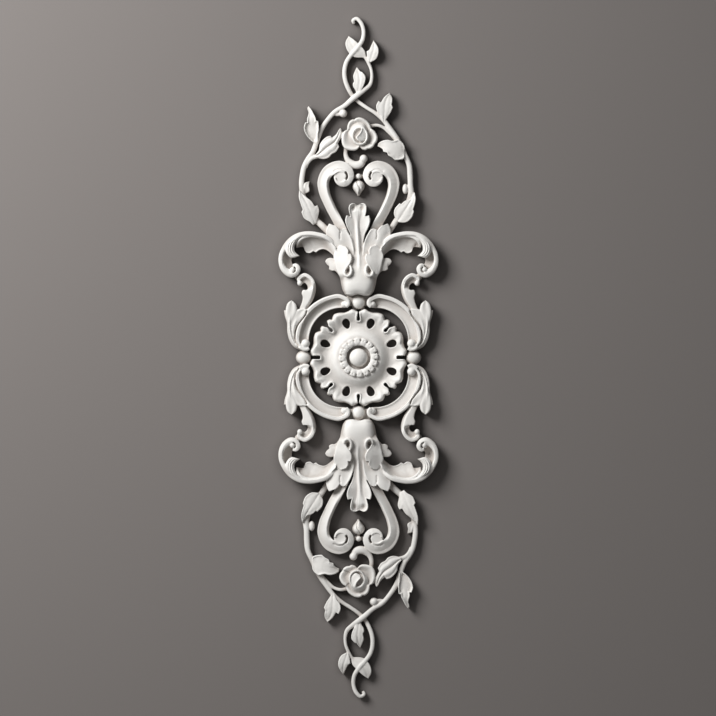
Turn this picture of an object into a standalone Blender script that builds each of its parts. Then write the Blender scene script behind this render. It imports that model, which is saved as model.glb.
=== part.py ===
"""Scroll applique: a tall openwork wall ornament, cast in one piece with a flat back.

Sizes are in millimetres. x runs to the right and z runs up in the plane of the wall. A height stands
out of the wall towards the viewer, which is -y. The origin is on the back, behind the rosette.
The upper half is modelled, and the lower half is the same casting turned half round.
"""
import math

import bmesh
import bpy
import numpy as np

MM = 0.001
SHARP = 1

# The forms cross each other at slight angles, which only this solver joins without open edges
SOLVER = "MANIFOLD"

# Share of the facets that is kept when the joined body is lightened
KEPT_SHARE = 0.45

# How far each form reaches behind the wall plane before the back is cut flat
SINK = 2.0
WEB_TOP = 4.5

# The ring of four C-scrolls
RING_SHIFT = 18.7
RING_INSIDE = 35.8
RING_OUTSIDE = 50.9
RING_RIM = 2.3
RING_CREST = 15.0
RING_HOLLOW = 8.0
BEAD_RADIUS = 7.7
BEAD_TOP = 14.0

# The rosette
PETALS = 8
ROSETTE_EDGE = 9.0
ROSETTE_SHOULDER = 15.0
HOLE_RING = 39.3
HOLE_ACROSS = 4.1
HOLE_ALONG = 5.8
SLOT_BOTTOM = 40.2
SLOT_ROUND = 1.9
SLOT_NECK = 45.0
SLOT_MOUTH = 56.0
SLOT_OPEN = 1.1
BUTTON_RADIUS = 9.9
BUTTON_TOP = 21.0
PEARL_COUNT = 16
PEARL_OUTSIDE = 21.1
PEARL_TOP = 18.5

# Vines
STEM_OVER = 10.5
LEAF_CREST = 10.5
HEART_CREST = 12.5
EYE_CREST = 14.0
ROSE_CENTRE = (1.2, 244.0)
ROSE_PETALS = 5
ROSE_RADIUS = 18.6
ROSE_HEART_RADIUS = 10.5

# The acanthus head
BELL_CREST = 27.0
BELL_CREASE = 3.0
ARM_CREST = 18.0
TRUMPET_CREST = 23.0

# Depth that every cutter reaches
CUT_DEPTH = 40.0


def through(rows, steps, corners=()):
    """Samples of a smooth line through rows whose first two numbers are x and z."""
    rows = np.array(rows, float)
    gaps = np.maximum(np.hypot(*(rows[1:, :2] - rows[:-1, :2]).T), 1e-6)
    slopes = (rows[1:] - rows[:-1]) / gaps[:, None]

    def slope_at(knot, side):
        if knot == 0 or knot == len(gaps) or knot in corners:
            return slopes[side]
        before, after = gaps[knot - 1], gaps[knot]
        return (slopes[knot - 1] * after + slopes[knot] * before) / (before + after)

    line = []
    for i, gap in enumerate(gaps):
        start, end = slope_at(i, i) * gap, slope_at(i + 1, i) * gap
        for k in range(steps):
            u = k / steps
            line.append(
                rows[i] * (2 * u ** 3 - 3 * u ** 2 + 1)
                + start * (u ** 3 - 2 * u ** 2 + u)
                + rows[i + 1] * (3 * u ** 2 - 2 * u ** 3)
                + end * (u ** 3 - u ** 2)
            )
    line.append(rows[-1])
    return np.array(line)


def outline(knots, steps):
    """A rail through (x, z) knots; a knot that ends in SHARP keeps its corner."""
    corners = [i for i, knot in enumerate(knots) if len(knot) == 3]
    return through([knot[:2] for knot in knots], steps, corners)


def arc(x, z, radius, first, last, count):
    """Points on an arc, in degrees from +x towards +z."""
    angles = np.radians(np.linspace(first, last, count))
    return [(x + radius * math.cos(a), z + radius * math.sin(a)) for a in angles]


def solid(points, faces):
    """A form as merged points and faces: points that coincide become one."""
    index, kept, renumber = {}, [], []
    for point in points:
        key = tuple(round(value, 4) for value in point)
        if key not in index:
            index[key] = len(kept)
            kept.append(point)
        renumber.append(index[key])
    clean = []
    for face in faces:
        loop = [renumber[i] for i in face]
        loop = [v for k, v in enumerate(loop) if v != loop[k - 1]]
        if len(set(loop)) > 2:
            clean.append(loop)
    return np.array(kept), clean


def shell(rows):
    """Closed solid under a grid of front points (x, z, height), with walls down to the sunk back."""
    stride = 2 * len(rows[0])
    points = []
    for row in rows:
        points.extend(tuple(point) for point in row)
        points.extend((x, z, -SINK) for x, z, height in reversed(row))
    faces = []
    for i in range(len(rows) - 1):
        a, b = i * stride, (i + 1) * stride
        for k in range(stride):
            n = (k + 1) % stride
            faces.append([a + k, a + n, b + n, b + k])
    faces.append(list(range(stride)))
    faces.append([(len(rows) - 1) * stride + k for k in range(stride)])
    return solid(points, faces)


def relief(left, right, height, steps=1, columns=2, spine=None):
    """Strip between two rails; height(s, t) has s along it from 0 to 1 and t across it, -1 to 1.

    The cross lines bend at the spine, where there is one, so that they slant forwards like veins.
    """
    left_line, right_line = outline(left, steps), outline(right, steps)
    last = len(left_line) - 1
    middle = (left_line + right_line) / 2
    if spine is not None:
        dense = outline(spine, 12)
        places = np.linspace(0.0, len(dense) - 1.0, last + 1)
        middle = np.stack([np.interp(places, range(len(dense)), axis) for axis in dense.T], axis=-1)
    rows = []
    for i, (a, b, m) in enumerate(zip(left_line, right_line, middle)):
        s = i / last
        meeting = np.hypot(*(a - b)) < 0.01
        row = []
        for k in range(columns + 1):
            t = 2 * k / columns - 1
            x, z = a if meeting else (m + (a - m) * -t if t < 0 else m + (b - m) * t)
            row.append((x, z, height(s, 0.0 if meeting else t)))
        rows.append(row)
    return shell(rows)


def leaf(left, right, crest):
    """Leaf between two rails that start at its stalk and meet at its tip."""
    base = ((left[0][0] + right[0][0]) / 2, (left[0][1] + right[0][1]) / 2)
    half = len(left) // 2
    belly = ((left[half][0] + right[half][0]) / 2, (left[half][1] + right[half][1]) / 2)
    centre = ((base[0] + belly[0]) / 2, (base[1] + belly[1]) / 2)
    return relief(left, right, leaf_height(crest), spine=[base, centre, belly, left[-1][:2]])


def sweep(path, section, steps=1):
    """Strip along a path of (x, z, half width, crest) with section(half width, crest) across it."""
    line = through(path, steps)
    heading = np.gradient(line[:, :2], axis=0)
    heading /= np.hypot(*heading.T)[:, None]
    rows = []
    for (x, z, half, crest), (dx, dz) in zip(line, heading):
        rows.append([(x - dz * half * t, z + dx * half * t, h) for t, h in section(half, crest)])
    return shell(rows)


def round_section(sides):
    """Half-round section that stands on short side walls."""
    def section(half, crest):
        wall = max(crest - half, 0.45 * crest)
        angles = [math.pi * k / sides for k in range(sides + 1)]
        return [(math.cos(a), wall + (crest - wall) * math.sin(a)) for a in angles]
    return section


def mound(x, z, radius, height, around, fractions):
    """Rounded form on a closed outline; radius(angle) and height(fraction, angle) in mm."""
    angles = [2 * math.pi * k / around for k in range(around)]
    rings = [[(x + radius(a) * math.cos(a), z + radius(a) * math.sin(a), -SINK) for a in angles]]
    for f in fractions:
        ring = []
        for a in angles:
            ring.append((x + f * radius(a) * math.cos(a), z + f * radius(a) * math.sin(a), height(f, a)))
        rings.append(ring)
    points = [point for ring in rings for point in ring] + [(x, z, height(0.0, 0.0))]
    faces = [list(range(around))]
    for level in range(len(rings) - 1):
        for k in range(around):
            n = (k + 1) % around
            a, b = level * around, (level + 1) * around
            faces.append([a + k, a + n, b + n, b + k])
    last = (len(rings) - 1) * around
    faces.extend([last + k, last + (k + 1) % around, len(points) - 1] for k in range(around))
    return solid(points, faces)


def dome(x, z, radius_x, radius_z, top, around=8):
    """Ball-like bead or bud."""
    wall = max(top - min(radius_x, radius_z), 0.4 * top)

    def radius(a):
        return radius_x * radius_z / math.hypot(radius_z * math.cos(a), radius_x * math.sin(a))

    def height(f, a):
        return wall + (top - wall) * math.sqrt(max(0.0, 1 - f * f))

    return mound(x, z, radius, height, around, (1.0, 0.62))


def mirrored(form):
    points, faces = form
    return points * (-1, 1, 1), faces


def turned(form):
    points, faces = form
    return points * (-1, -1, 1), faces


def leaf_height(crest):
    """A leaf that is creased along its midrib, cupped, and low at its base and edges."""
    def height(s, t):
        rise = 0.72 + 0.28 * math.sin(math.pi * min(1.0, s * 1.15)) - 0.12 * abs(t)
        crease = 0.1 * max(0.0, 1 - 3 * abs(t)) * math.sin(math.pi * s)
        return crest * (rise - crease)
    return height


# Each leaf has a left and a right rail from its base to its tip, and its crest
LEAVES = {
    "top left leaf": (
        [(5.5, 329.1), (-5.4, 330.3), (-13.0, 338.6), (-14.3, 346.2), (-10.9, 353.3, SHARP)],
        [(8.2, 332.2), (6.8, 337.2), (2.2, 342.3), (-5.4, 349.5), (-10.9, 353.3, SHARP)],
        8.5,
    ),
    "top right leaf": (
        [(10.8, 325.1), (9.4, 331.0), (8.9, 336.1, SHARP), (11.8, 337.7, SHARP), (14.0, 342.8),
         (16.5, 348.6, SHARP)],
        [(13.8, 324.3), (19.2, 327.5), (22.1, 333.9), (21.8, 339.9), (20.1, 343.4),
         (16.5, 348.6, SHARP)],
        LEAF_CREST,
    ),
    "leaf in the loop": (
        [(-2.2, 288.0), (-3.4, 293.4), (-5.8, 297.4), (-6.3, 300.6, SHARP), (-4.8, 303.2, SHARP),
         (-5.8, 309.1), (-3.9, 314.9), (-1.9, 319.2, SHARP)],
        [(0.4, 288.0), (2.8, 293.0), (5.6, 298.3), (7.6, 304.0), (7.6, 309.1), (4.3, 313.3, SHARP),
         (2.1, 314.2, SHARP), (-1.9, 319.2, SHARP)],
        LEAF_CREST,
    ),
    "upper right leaf": (
        [(26.3, 259.5), (23.9, 266.1), (20.4, 270.7), (19.5, 276.5), (21.9, 281.9, SHARP),
         (24.3, 279.5, SHARP), (28.7, 286.4), (34.2, 290.8, SHARP)],
        [(29.3, 259.5), (32.7, 264.8), (34.7, 267.7), (38.1, 274.6, SHARP), (36.6, 277.5, SHARP),
         (37.3, 281.6), (37.1, 285.5), (34.2, 290.8, SHARP)],
        LEAF_CREST,
    ),
    "upper left leaf": (
        [(-48.6, 235.2), (-55.0, 241.0), (-58.0, 245.4), (-60.0, 252.8), (-58.4, 258.2, SHARP),
         (-56.2, 257.7, SHARP), (-56.5, 261.1), (-54.8, 268.5), (-56.0, 274.5), (-54.9, 276.2, SHARP)],
        [(-44.3, 236.8), (-44.6, 245.9), (-43.6, 250.3), (-43.7, 255.2), (-44.2, 259.7, SHARP),
         (-46.4, 259.7, SHARP), (-47.2, 263.6), (-48.6, 266.5, SHARP), (-52.0, 272.8),
         (-54.9, 276.2, SHARP)],
        12.0,
    ),
    "leaf beside the rose": (
        [(-47.1, 223.1), (-43.7, 227.2), (-42.2, 234.2), (-38.8, 239.0), (-34.1, 242.6),
         (-30.5, 243.4, SHARP), (-29.5, 241.0, SHARP), (-24.8, 244.8), (-21.1, 250.8),
         (-19.7, 252.3, SHARP)],
        [(-46.6, 219.2), (-36.9, 217.9), (-32.5, 219.5), (-29.0, 223.3), (-25.1, 225.3),
         (-21.1, 231.2, SHARP), (-22.7, 234.6, SHARP), (-20.4, 238.7), (-17.5, 247.0),
         (-19.7, 252.3, SHARP)],
        12.0,
    ),
    "curled leaf": (
        [(50.6, 232.1), (49.0, 235.2), (44.0, 239.5, SHARP), (36.6, 237.8), (32.7, 238.8),
         (24.9, 237.3), (21.5, 233.3), (21.9, 230.5, SHARP)],
        [(50.7, 218.8), (46.8, 217.3), (42.5, 216.7, SHARP), (35.6, 221.7), (31.9, 225.0),
         (29.7, 227.5), (26.8, 229.9), (21.9, 230.5, SHARP)],
        13.0,
    ),
    "lower left leaf": (
        [(-50.1, 145.5), (-52.7, 148.2), (-59.6, 152.6), (-62.7, 159.5, SHARP), (-61.1, 162.0, SHARP),
         (-62.9, 166.8), (-65.5, 176.6), (-65.1, 183.9, SHARP)],
        [(-45.7, 148.0), (-44.1, 155.7), (-43.2, 163.1), (-45.0, 167.2, SHARP), (-47.9, 165.8, SHARP),
         (-51.2, 171.1), (-57.2, 176.1), (-65.1, 183.9, SHARP)],
        13.0,
    ),
    "lower right leaf": (
        [(41.8, 150.7), (38.9, 157.2), (39.7, 162.8), (45.4, 169.7, SHARP), (46.4, 168.0, SHARP),
         (50.6, 171.7), (56.1, 173.8), (61.8, 181.5, SHARP)],
        [(44.6, 148.4), (51.8, 148.3), (58.3, 152.9), (61.2, 160.1, SHARP), (60.1, 162.6, SHARP),
         (61.5, 166.7), (62.9, 174.4), (61.8, 181.5, SHARP)],
        13.0,
    ),
    "leaflet": (
        [(-60.9, 184.5), (-57.8, 190.3), (-54.1, 193.5, SHARP)],
        [(-59.1, 180.0), (-53.9, 185.4), (-54.1, 193.5, SHARP)],
        9.0,
    ),
}

# Each path has x, z, half width and crest
HOOKED_TENDRIL = [
    (-4.6, 367.0, 1.7, 6.0), (-6.6, 370.4, 2.2, 7.0), (-2.3, 373.0, 2.5, 7.5), (2.1, 368.8, 2.5, 8.0),
    (5.5, 359.6, 2.4, 8.0), (4.6, 349.5, 2.4, 9.0), (-0.4, 341.1, 2.4, 10.0), (-7.2, 333.5, 2.4, 9.0),
    (-13.0, 325.1, 2.4, 8.0), (-15.5, 314.9, 2.4, 8.0), (-14.7, 304.9, 2.4, 8.0),
    (-11.3, 295.6, 2.4, 7.5), (-6.3, 287.2, 2.3, 6.5), (-0.4, 281.3, 2.1, 6.5), (8.0, 275.2, 2.0, 7.5),
    (18.9, 268.2, 2.1, 8.0), (27.8, 260.4, 2.4, 8.5), (35.6, 250.0, 2.9, 8.5), (42.5, 239.3, 3.3, 9.0),
    (47.4, 230.5, 3.0, 9.0), (51.4, 221.7, 2.8, 9.0), (55.6, 211.8, 3.0, 9.0), (56.8, 200.0, 3.2, 9.0),
    (57.2, 189.2, 3.0, 9.0), (57.8, 181.3, 3.4, 8.5), (55.6, 172.2, 3.2, 8.5), (49.5, 161.2, 3.2, 8.5),
    (40.6, 149.1, 3.2, 9.0), (35.6, 141.0, 3.0, 9.0), (30.0, 133.0, 3.0, 9.0),
]
LEAFY_TENDRIL = [
    (6.0, 332.0, 1.6, 7.0), (10.6, 324.3, 1.8, 7.5), (14.0, 315.8, 1.9, 8.0), (14.7, 308.2, 2.0, 8.0),
    (12.7, 299.9, 2.2, 8.5), (6.4, 293.9, 2.5, 9.5), (-0.4, 288.9, 2.9, STEM_OVER),
    (-6.2, 284.4, 2.9, STEM_OVER), (-14.9, 276.8, 2.6, 9.0), (-26.3, 269.7, 2.5, 8.5),
    (-34.1, 260.8, 2.5, 8.5), (-40.0, 252.0, 2.6, 8.5), (-43.9, 243.2, 2.7, 8.5),
    (-46.9, 234.3, 2.8, 8.5), (-50.3, 225.5, 2.8, 9.0), (-55.7, 217.7, 2.8, 9.0),
    (-59.6, 209.8, 2.9, 9.0), (-61.6, 201.0, 2.9, 9.0), (-62.6, 190.2, 2.9, 9.0),
    (-61.6, 181.3, 2.9, 8.5), (-56.0, 166.0, 2.9, 7.5), (-47.5, 152.0, 3.2, 8.5),
    (-39.1, 144.0, 3.6, 9.5), (-32.1, 137.1, 3.4, 9.5), (-26.5, 130.5, 3.2, 9.5),
]
ROSE_STEM = [
    (40.5, 239.8, 1.8, 7.0), (32.7, 248.1, 1.8, 7.5), (26.8, 253.0, 1.7, 7.5), (20.9, 255.0, 1.8, 8.0),
    (12.0, 254.0, 2.0, 8.0),
]
LEAF_BRANCH = [
    (-58.0, 208.8, 2.0, 8.0), (-56.0, 213.5, 2.0, 9.0), (-51.8, 218.6, 2.3, 9.5),
    (-43.0, 221.5, 2.4, 9.5),
]
BUD_STALK = [(-29.5, 268.5, 2.2, 7.0), (-22.5, 267.0, 1.9, 7.5), (-17.0, 268.2, 1.8, 8.0)]
ROSE_HOOK = [
    (-13.0, 234.0, 2.0, 8.0), (-14.0, 228.6, 2.0, 8.0), (-14.1, 223.1, 2.3, 8.0),
    (-12.4, 217.9, 2.9, 8.5), (-8.4, 213.8, 3.6, 9.0), (-3.1, 211.5, 4.2, 10.0), (2.2, 212.8, 4.0, 10.0),
    (4.9, 216.8, 3.5, 10.0),
]

# The left half of the heart: the band's outer and inner rail from the acanthus to the volute
HEART_EYE = (-20.1, 197.5)
HEART_EYE_RADIUS = 6.6
HEART_OUTER_TURN = (
    (165, 22.8), (140, 19.8), (115, 18.7), (90, 18.2), (65, 17.3), (35, 16.0), (5, 15.2), (-25, 14.0),
    (-55, 12.4), (-85, 11.0), (-115, 9.6), (-145, 8.2), (-178, 7.2),
)
HEART_INNER_TURN = (
    (165, 13.2), (142, 11.4), (120, 9.6), (95, 8.0), (65, 7.8), (35, 7.7), (5, 7.4), (-25, 6.2),
    (-55, 5.0), (-85, 5.0), (-115, 5.0), (-145, 5.0), (-178, 5.0),
)
HEART_OUTER = [(-20.0, 133.0), (-27.2, 146.9), (-37.5, 166.7), (-43.6, 181.5), (-45.2, 191.0)]
HEART_INNER = [(-9.0, 133.0), (-15.6, 146.9), (-26.3, 166.7), (-33.5, 181.5), (-35.2, 191.0)]

# The acanthus head, left half, and the trumpet leaf
BELL_ROWS = (
    (67.5, 11.0, 17.0), (69.5, 15.0, 22.0), (73.5, 17.2, 25.5), (80.0, 19.3, BELL_CREST),
    (88.0, 21.5, 26.0), (97.0, 24.5, 23.0), (108.0, 25.0, 19.0), (122.0, 24.0, 14.0),
)
HEAD_LOBE_OUTER = [(-22.0, 91.0), (-27.5, 94.1), (-31.7, 96.4), (-34.0, 102.0), (-35.9, 105.7, SHARP)]
HEAD_LOBE_INNER = [(-20.0, 104.0), (-25.5, 106.7), (-29.8, 109.0), (-34.0, 108.6), (-35.9, 105.7, SHARP)]
FRONT_LEAF_OUTER = [
    (-17.0, 81.0), (-21.0, 89.0), (-25.0, 95.5), (-28.0, 101.0), (-30.0, 106.0), (-30.5, 111.0),
    (-29.5, 116.0), (-27.5, 120.5), (-25.0, 123.5), (-19.5, 123.2, SHARP),
]
FRONT_LEAF_INNER = [
    (-8.5, 82.0), (-12.0, 88.0), (-14.2, 94.5), (-11.0, 100.5), (-7.1, 109.0), (-8.4, 113.9, SHARP),
    (-11.8, 112.4, SHARP), (-11.0, 117.0), (-13.6, 121.4, SHARP), (-19.5, 123.2, SHARP),
]
EYE_CURL = [
    (-8.6, 101.0, 1.3, 20.0), (-8.0, 96.0, 1.5, 21.5), (-9.0, 91.6, 1.6, 22.5), (-12.0, 89.6, 1.6, 23.0),
    (-15.2, 91.5, 1.5, 23.5), (-15.4, 95.0, 1.3, 23.0),
]
OUTER_LEAF_LEFT = [
    (-20.5, 110.0), (-22.0, 115.0), (-24.6, 120.8), (-28.4, 126.2), (-32.6, 130.8), (-35.2, 134.4),
    (-35.5, 138.0), (-35.0, 141.0), (-33.6, 144.6), (-32.2, 147.0, SHARP),
]
OUTER_LEAF_RIGHT = [
    (-4.5, 110.0), (-4.8, 118.0), (-5.9, 124.3), (-7.9, 131.0), (-10.6, 136.0), (-16.0, 141.6, SHARP),
    (-19.9, 137.6, SHARP), (-23.0, 142.2), (-28.4, 145.3, SHARP), (-32.2, 147.0, SHARP),
]
TRUMPET_LEFT = [
    (-7.5, 92.0), (-7.0, 104.0), (-6.4, 114.0), (-6.7, 124.7), (-8.7, 135.5), (-13.0, 144.0),
    (-14.3, 152.5), (-12.4, 156.0, SHARP), (-8.3, 154.8, SHARP), (-10.8, 163.0), (-10.2, 167.6),
    (-7.8, 169.9), (-3.6, 169.6),
]
TRUMPET_RIGHT = [
    (7.5, 92.0), (6.6, 104.0), (5.2, 114.0), (4.6, 124.7), (6.8, 135.0), (11.4, 144.0),
    (12.8, 151.5), (11.1, 156.2, SHARP), (6.9, 154.8, SHARP), (9.4, 163.2), (9.2, 167.4),
    (6.6, 169.8), (1.8, 169.6),
]

# The left arm: its raised rim, the hollow under it and the lobe that curls over
ARM_RIM = [
    (-26.0, 124.0, 2.6, 16.0), (-36.0, 131.2, 2.6, ARM_CREST), (-45.0, 134.7, 2.6, ARM_CREST),
    (-55.0, 135.8, 2.7, ARM_CREST), (-64.0, 134.6, 2.7, ARM_CREST), (-71.2, 131.2, 2.8, ARM_CREST),
    (-77.5, 125.6, 2.8, 17.5), (-82.0, 119.0, 2.8, 17.0), (-84.8, 111.8, 2.8, 17.0),
    (-85.0, 105.0, 3.0, 17.0), (-83.0, 99.0, 3.4, 17.0), (-79.0, 94.0, 4.0, 17.5),
    (-73.5, 91.6, 4.2, 18.0), (-68.0, 93.8, 3.6, 18.5), (-65.8, 98.0, 3.0, 18.0),
    (-68.0, 101.0, 2.6, 17.0),
]
ARM_HOLLOW_UPPER = [
    (-27.0, 121.0), (-36.0, 130.0), (-45.0, 133.5), (-52.0, 134.5), (-58.0, 133.0), (-63.0, 130.0),
    (-66.0, 126.5), (-67.0, 122.5),
]
ARM_HOLLOW_LOWER = [
    (-22.0, 104.0), (-29.6, 113.8), (-36.4, 118.1), (-43.0, 119.2), (-47.6, 115.4), (-51.6, 116.0),
    (-55.6, 114.4), (-60.0, 119.0),
]
CURL_HOLLOW_UPPER = [(-82.0, 121.0), (-84.0, 113.0), (-84.0, 105.0), (-81.0, 98.0), (-75.5, 94.0)]
CURL_HOLLOW_LOWER = [(-74.0, 122.0), (-72.0, 110.5), (-73.0, 106.0), (-72.4, 103.6), (-69.5, 99.0)]
ARM_LOBE_UPPER = [(-61.0, 134.0), (-65.0, 128.0), (-67.7, 120.5), (-68.6, 117.5), (-64.8, 111.8, SHARP)]
ARM_LOBE_LOWER = [(-73.0, 130.0), (-79.0, 122.0), (-78.0, 114.5), (-73.0, 109.5), (-64.8, 111.8, SHARP)]

# The small S-scroll and the side leaf on the left of the ring
S_SCROLL_LEFT = [
    (-66.5, 49.0), (-62.6, 59.0), (-60.9, 66.0), (-62.2, 70.6), (-60.0, 73.4, SHARP), (-57.0, 73.4, SHARP),
    (-56.0, 77.0), (-56.6, 83.0), (-60.5, 86.3), (-63.9, 84.5), (-63.2, 81.2), (-62.4, 79.6),
]
S_SCROLL_RIGHT = [
    (-52.0, 49.0), (-50.6, 60.6), (-47.6, 68.0), (-46.6, 71.5), (-46.2, 75.4), (-46.6, 79.0),
    (-48.0, 84.0), (-52.2, 90.2), (-59.4, 92.6), (-65.8, 89.0), (-67.8, 83.8), (-65.2, 79.2),
]
# Left, right and front lobe of the side leaf: left rail, right rail and crest
SIDE_LEAF = (
    ([(-58.0, 8.0), (-66.5, 9.0), (-75.6, 18.2), (-78.2, 28.1), (-78.6, 38.0), (-82.0, 53.0, SHARP)],
     [(-58.0, 11.0), (-65.0, 13.0), (-73.5, 24.0), (-75.4, 32.0), (-76.2, 40.0), (-82.0, 53.0, SHARP)],
     12.5),
    ([(-59.0, 10.5), (-66.0, 12.0), (-73.4, 27.0), (-74.2, 36.0), (-67.0, 52.6), (-56.4, 52.8, SHARP)],
     [(-58.0, 12.0), (-63.0, 13.5), (-69.2, 25.0), (-67.4, 33.5), (-57.6, 48.4), (-56.4, 52.8, SHARP)],
     14.0),
    ([(-60.0, 9.5), (-68.5, 11.5), (-75.6, 27.0), (-79.4, 46.0), (-79.8, 53.5), (-77.6, 59.8),
      (-73.5, 62.8, SHARP)],
     [(-60.0, 11.0), (-67.0, 13.5), (-73.8, 28.0), (-70.6, 45.0), (-67.4, 52.0), (-68.8, 58.8),
      (-73.5, 62.8, SHARP)],
     14.5),
)


def ring_quarter():
    """Upper-left C-scroll: raised rim, hollow, and an eye at each end."""
    rim = [(-55.6, 8.4), (-60.5, 9.6), (-64.8, 13.0)]
    rim += arc(-RING_SHIFT, RING_SHIFT, RING_OUTSIDE - RING_RIM, 180, 93, 9)
    rim += [(-16.2, 65.4), (-12.0, 62.6), (-11.4, 58.6), (-14.0, 56.0)]
    path = [(x, z, RING_RIM, RING_CREST) for x, z in rim]
    outer = arc(-RING_SHIFT, RING_SHIFT, RING_OUTSIDE - 2 * RING_RIM + 0.8, 186, 88, 9)
    inner = arc(-RING_SHIFT, RING_SHIFT, RING_INSIDE, 184, 86, 9)

    def hollow(s, t):
        return RING_HOLLOW + 2.5 * t * t

    return [
        sweep(path, round_section(3)),
        relief(outer, inner, hollow),
        dome(-58.0, 15.0, 4.4, 4.4, 13.0),
        dome(-15.8, 59.4, 4.6, 4.6, 12.5),
    ]


def side_leaf():
    """Fluted leaf that grows beside the C-scroll and opens in three lobes."""
    def height(crest):
        def lobe(s, t):
            return crest * (0.75 + 0.25 * s) + 1.2 - 1.6 * t * t
        return lobe

    return [relief(left, right, height(crest)) for left, right, crest in SIDE_LEAF]


def s_scroll():
    def height(s, t):
        return 9.0 + 5.0 * math.sin(math.pi * (0.15 + 0.8 * s)) + 1.5 * t * s - 1.5 * t * t

    return [relief(S_SCROLL_LEFT, S_SCROLL_RIGHT, height), dome(-66.0, 88.3, 4.0, 4.0, WEB_TOP)]


def arm():
    """Acanthus arm that sweeps out, curls down and ends in a small volute."""
    def hollow(s, t):
        return 9.0 + 3.5 * t

    def curl(s, t):
        return 7.0 + 1.0 * t

    def lobe(s, t):
        return 17.0 - 2.5 * t * t + 1.5 * s

    return [
        sweep(ARM_RIM, round_section(3)),
        relief(ARM_HOLLOW_UPPER, ARM_HOLLOW_LOWER, hollow),
        relief(CURL_HOLLOW_UPPER, CURL_HOLLOW_LOWER, curl, columns=1),
        relief(ARM_LOBE_UPPER, ARM_LOBE_LOWER, lobe),
    ]


def head_sides():
    """Left half of the leaves that open out of the bell."""
    def lobe(s, t):
        return 20.0 - 5.0 * s - 2.0 * t * t

    def front(s, t):
        return 18.0 + 6.0 * math.sin(math.pi * (0.25 + 0.55 * s)) + 2.5 * t - 2.0 * t * t

    def outer(s, t):
        return 14.0 + 3.0 * s - 1.5 * t * t

    return [
        relief(HEAD_LOBE_OUTER, HEAD_LOBE_INNER, lobe),
        relief(FRONT_LEAF_OUTER, FRONT_LEAF_INNER, front),
        sweep(EYE_CURL, round_section(3)),
        relief(OUTER_LEAF_LEFT, OUTER_LEAF_RIGHT, outer),
    ]


def bell():
    """Swelling base of the head: two soft bulges side by side over the bead."""
    foot = BELL_ROWS[0][0]
    rows = []
    for z, half, crest in BELL_ROWS:
        share = max(0.0, 1 - (z - foot) / 14.0)
        row = []
        for t in (-1.0, -0.75, -0.35, 0.0, 0.35, 0.75, 1.0):
            middle = max(0.0, 1 - 2.5 * abs(t)) * share
            drop = 1 - 0.6 * t ** 4 - 0.12 * abs(t)
            row.append((half * t, z + 1.5 * middle, crest * drop - BELL_CREASE * middle))
        rows.append(row)
    return [shell(rows)]


def trumpet():
    """Central leaf with a strong midrib that flares into a mouth."""
    def height(s, t):
        valley = 3.0 * math.sin(math.pi * min(1.0, 2.0 * abs(t))) * (0.4 + 0.6 * s)
        return TRUMPET_CREST - 3.0 * s - valley - 2.5 * t * t

    spine = [(0.0, 92.0), (-0.8, 124.7), (-0.8, 144.0), (-1.0, 168.2)]
    return [relief(TRUMPET_LEFT, TRUMPET_RIGHT, height, columns=4, spine=spine)]


def heart():
    """Left scroll of the heart: a sloping band that rolls up round its eye."""
    def turn(polar):
        return [
            (HEART_EYE[0] + r * math.cos(math.radians(a)), HEART_EYE[1] + r * math.sin(math.radians(a)))
            for a, r in polar
        ]

    outer = HEART_OUTER + turn(HEART_OUTER_TURN)
    inner = HEART_INNER + turn(HEART_INNER_TURN)

    def height(s, t):
        return HEART_CREST + 3.0 * t - 5.0 * max(0.0, t - 0.34)

    return [
        relief(outer, inner, height, columns=3),
        dome(*HEART_EYE, HEART_EYE_RADIUS, HEART_EYE_RADIUS, EYE_CREST),
    ]


def rose():
    """Open rose: five outer petals with lifted edges round a rolled heart."""
    x, z = ROSE_CENTRE
    turn = math.radians(18)

    def outer_radius(a):
        return ROSE_RADIUS * (0.80 + 0.20 * abs(math.cos(ROSE_PETALS * (a - turn) / 2)) ** 0.6)

    def outer_height(f, a):
        return 12.0 + 5.5 * (1 - f) + 2.0 * math.sin(math.pi * f) * math.cos(ROSE_PETALS * (a - turn))

    def inner_radius(a):
        return ROSE_HEART_RADIUS * (0.86 + 0.14 * abs(math.cos(1.5 * (a - math.radians(50)))))

    def inner_height(f, a):
        return 15.0 + 8.0 * math.sin(math.pi * min(1.0, f * 0.75 + 0.12))

    return [
        mound(x, z, outer_radius, outer_height, 30, (1.0, 0.75)),
        mound(x - 1.0, z + 1.5, inner_radius, inner_height, 12, (1.0, 0.7, 0.3)),
    ]


def upper_half():
    """Every form of the upper half."""
    paired = ring_quarter() + side_leaf() + s_scroll() + arm() + head_sides() + heart()
    forms = paired + [mirrored(form) for form in paired]
    forms += bell() + trumpet() + rose()
    for path in (HOOKED_TENDRIL, LEAFY_TENDRIL, ROSE_STEM, LEAF_BRANCH, BUD_STALK, ROSE_HOOK):
        forms.append(sweep(path, round_section(3)))
    for left, right, crest in LEAVES.values():
        forms.append(leaf(left, right, crest))
    forms += [
        dome(-16.9, 268.3, 4.6, 4.6, 10.0),
        dome(51.4, 185.2, 3.2, 5.7, 9.0),
        dome(5.4, 218.6, 4.2, 4.2, 11.0),
        dome(0.0, 199.1, 3.4, 3.4, 9.0),
        dome(0.0, 187.5, 6.4, 7.6, 11.0),
        dome(0.0, 60.9, BEAD_RADIUS, 7.9, BEAD_TOP),
        dome(-60.6, 0.0, 8.3, 7.5, BEAD_TOP),
    ]
    return forms


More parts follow.
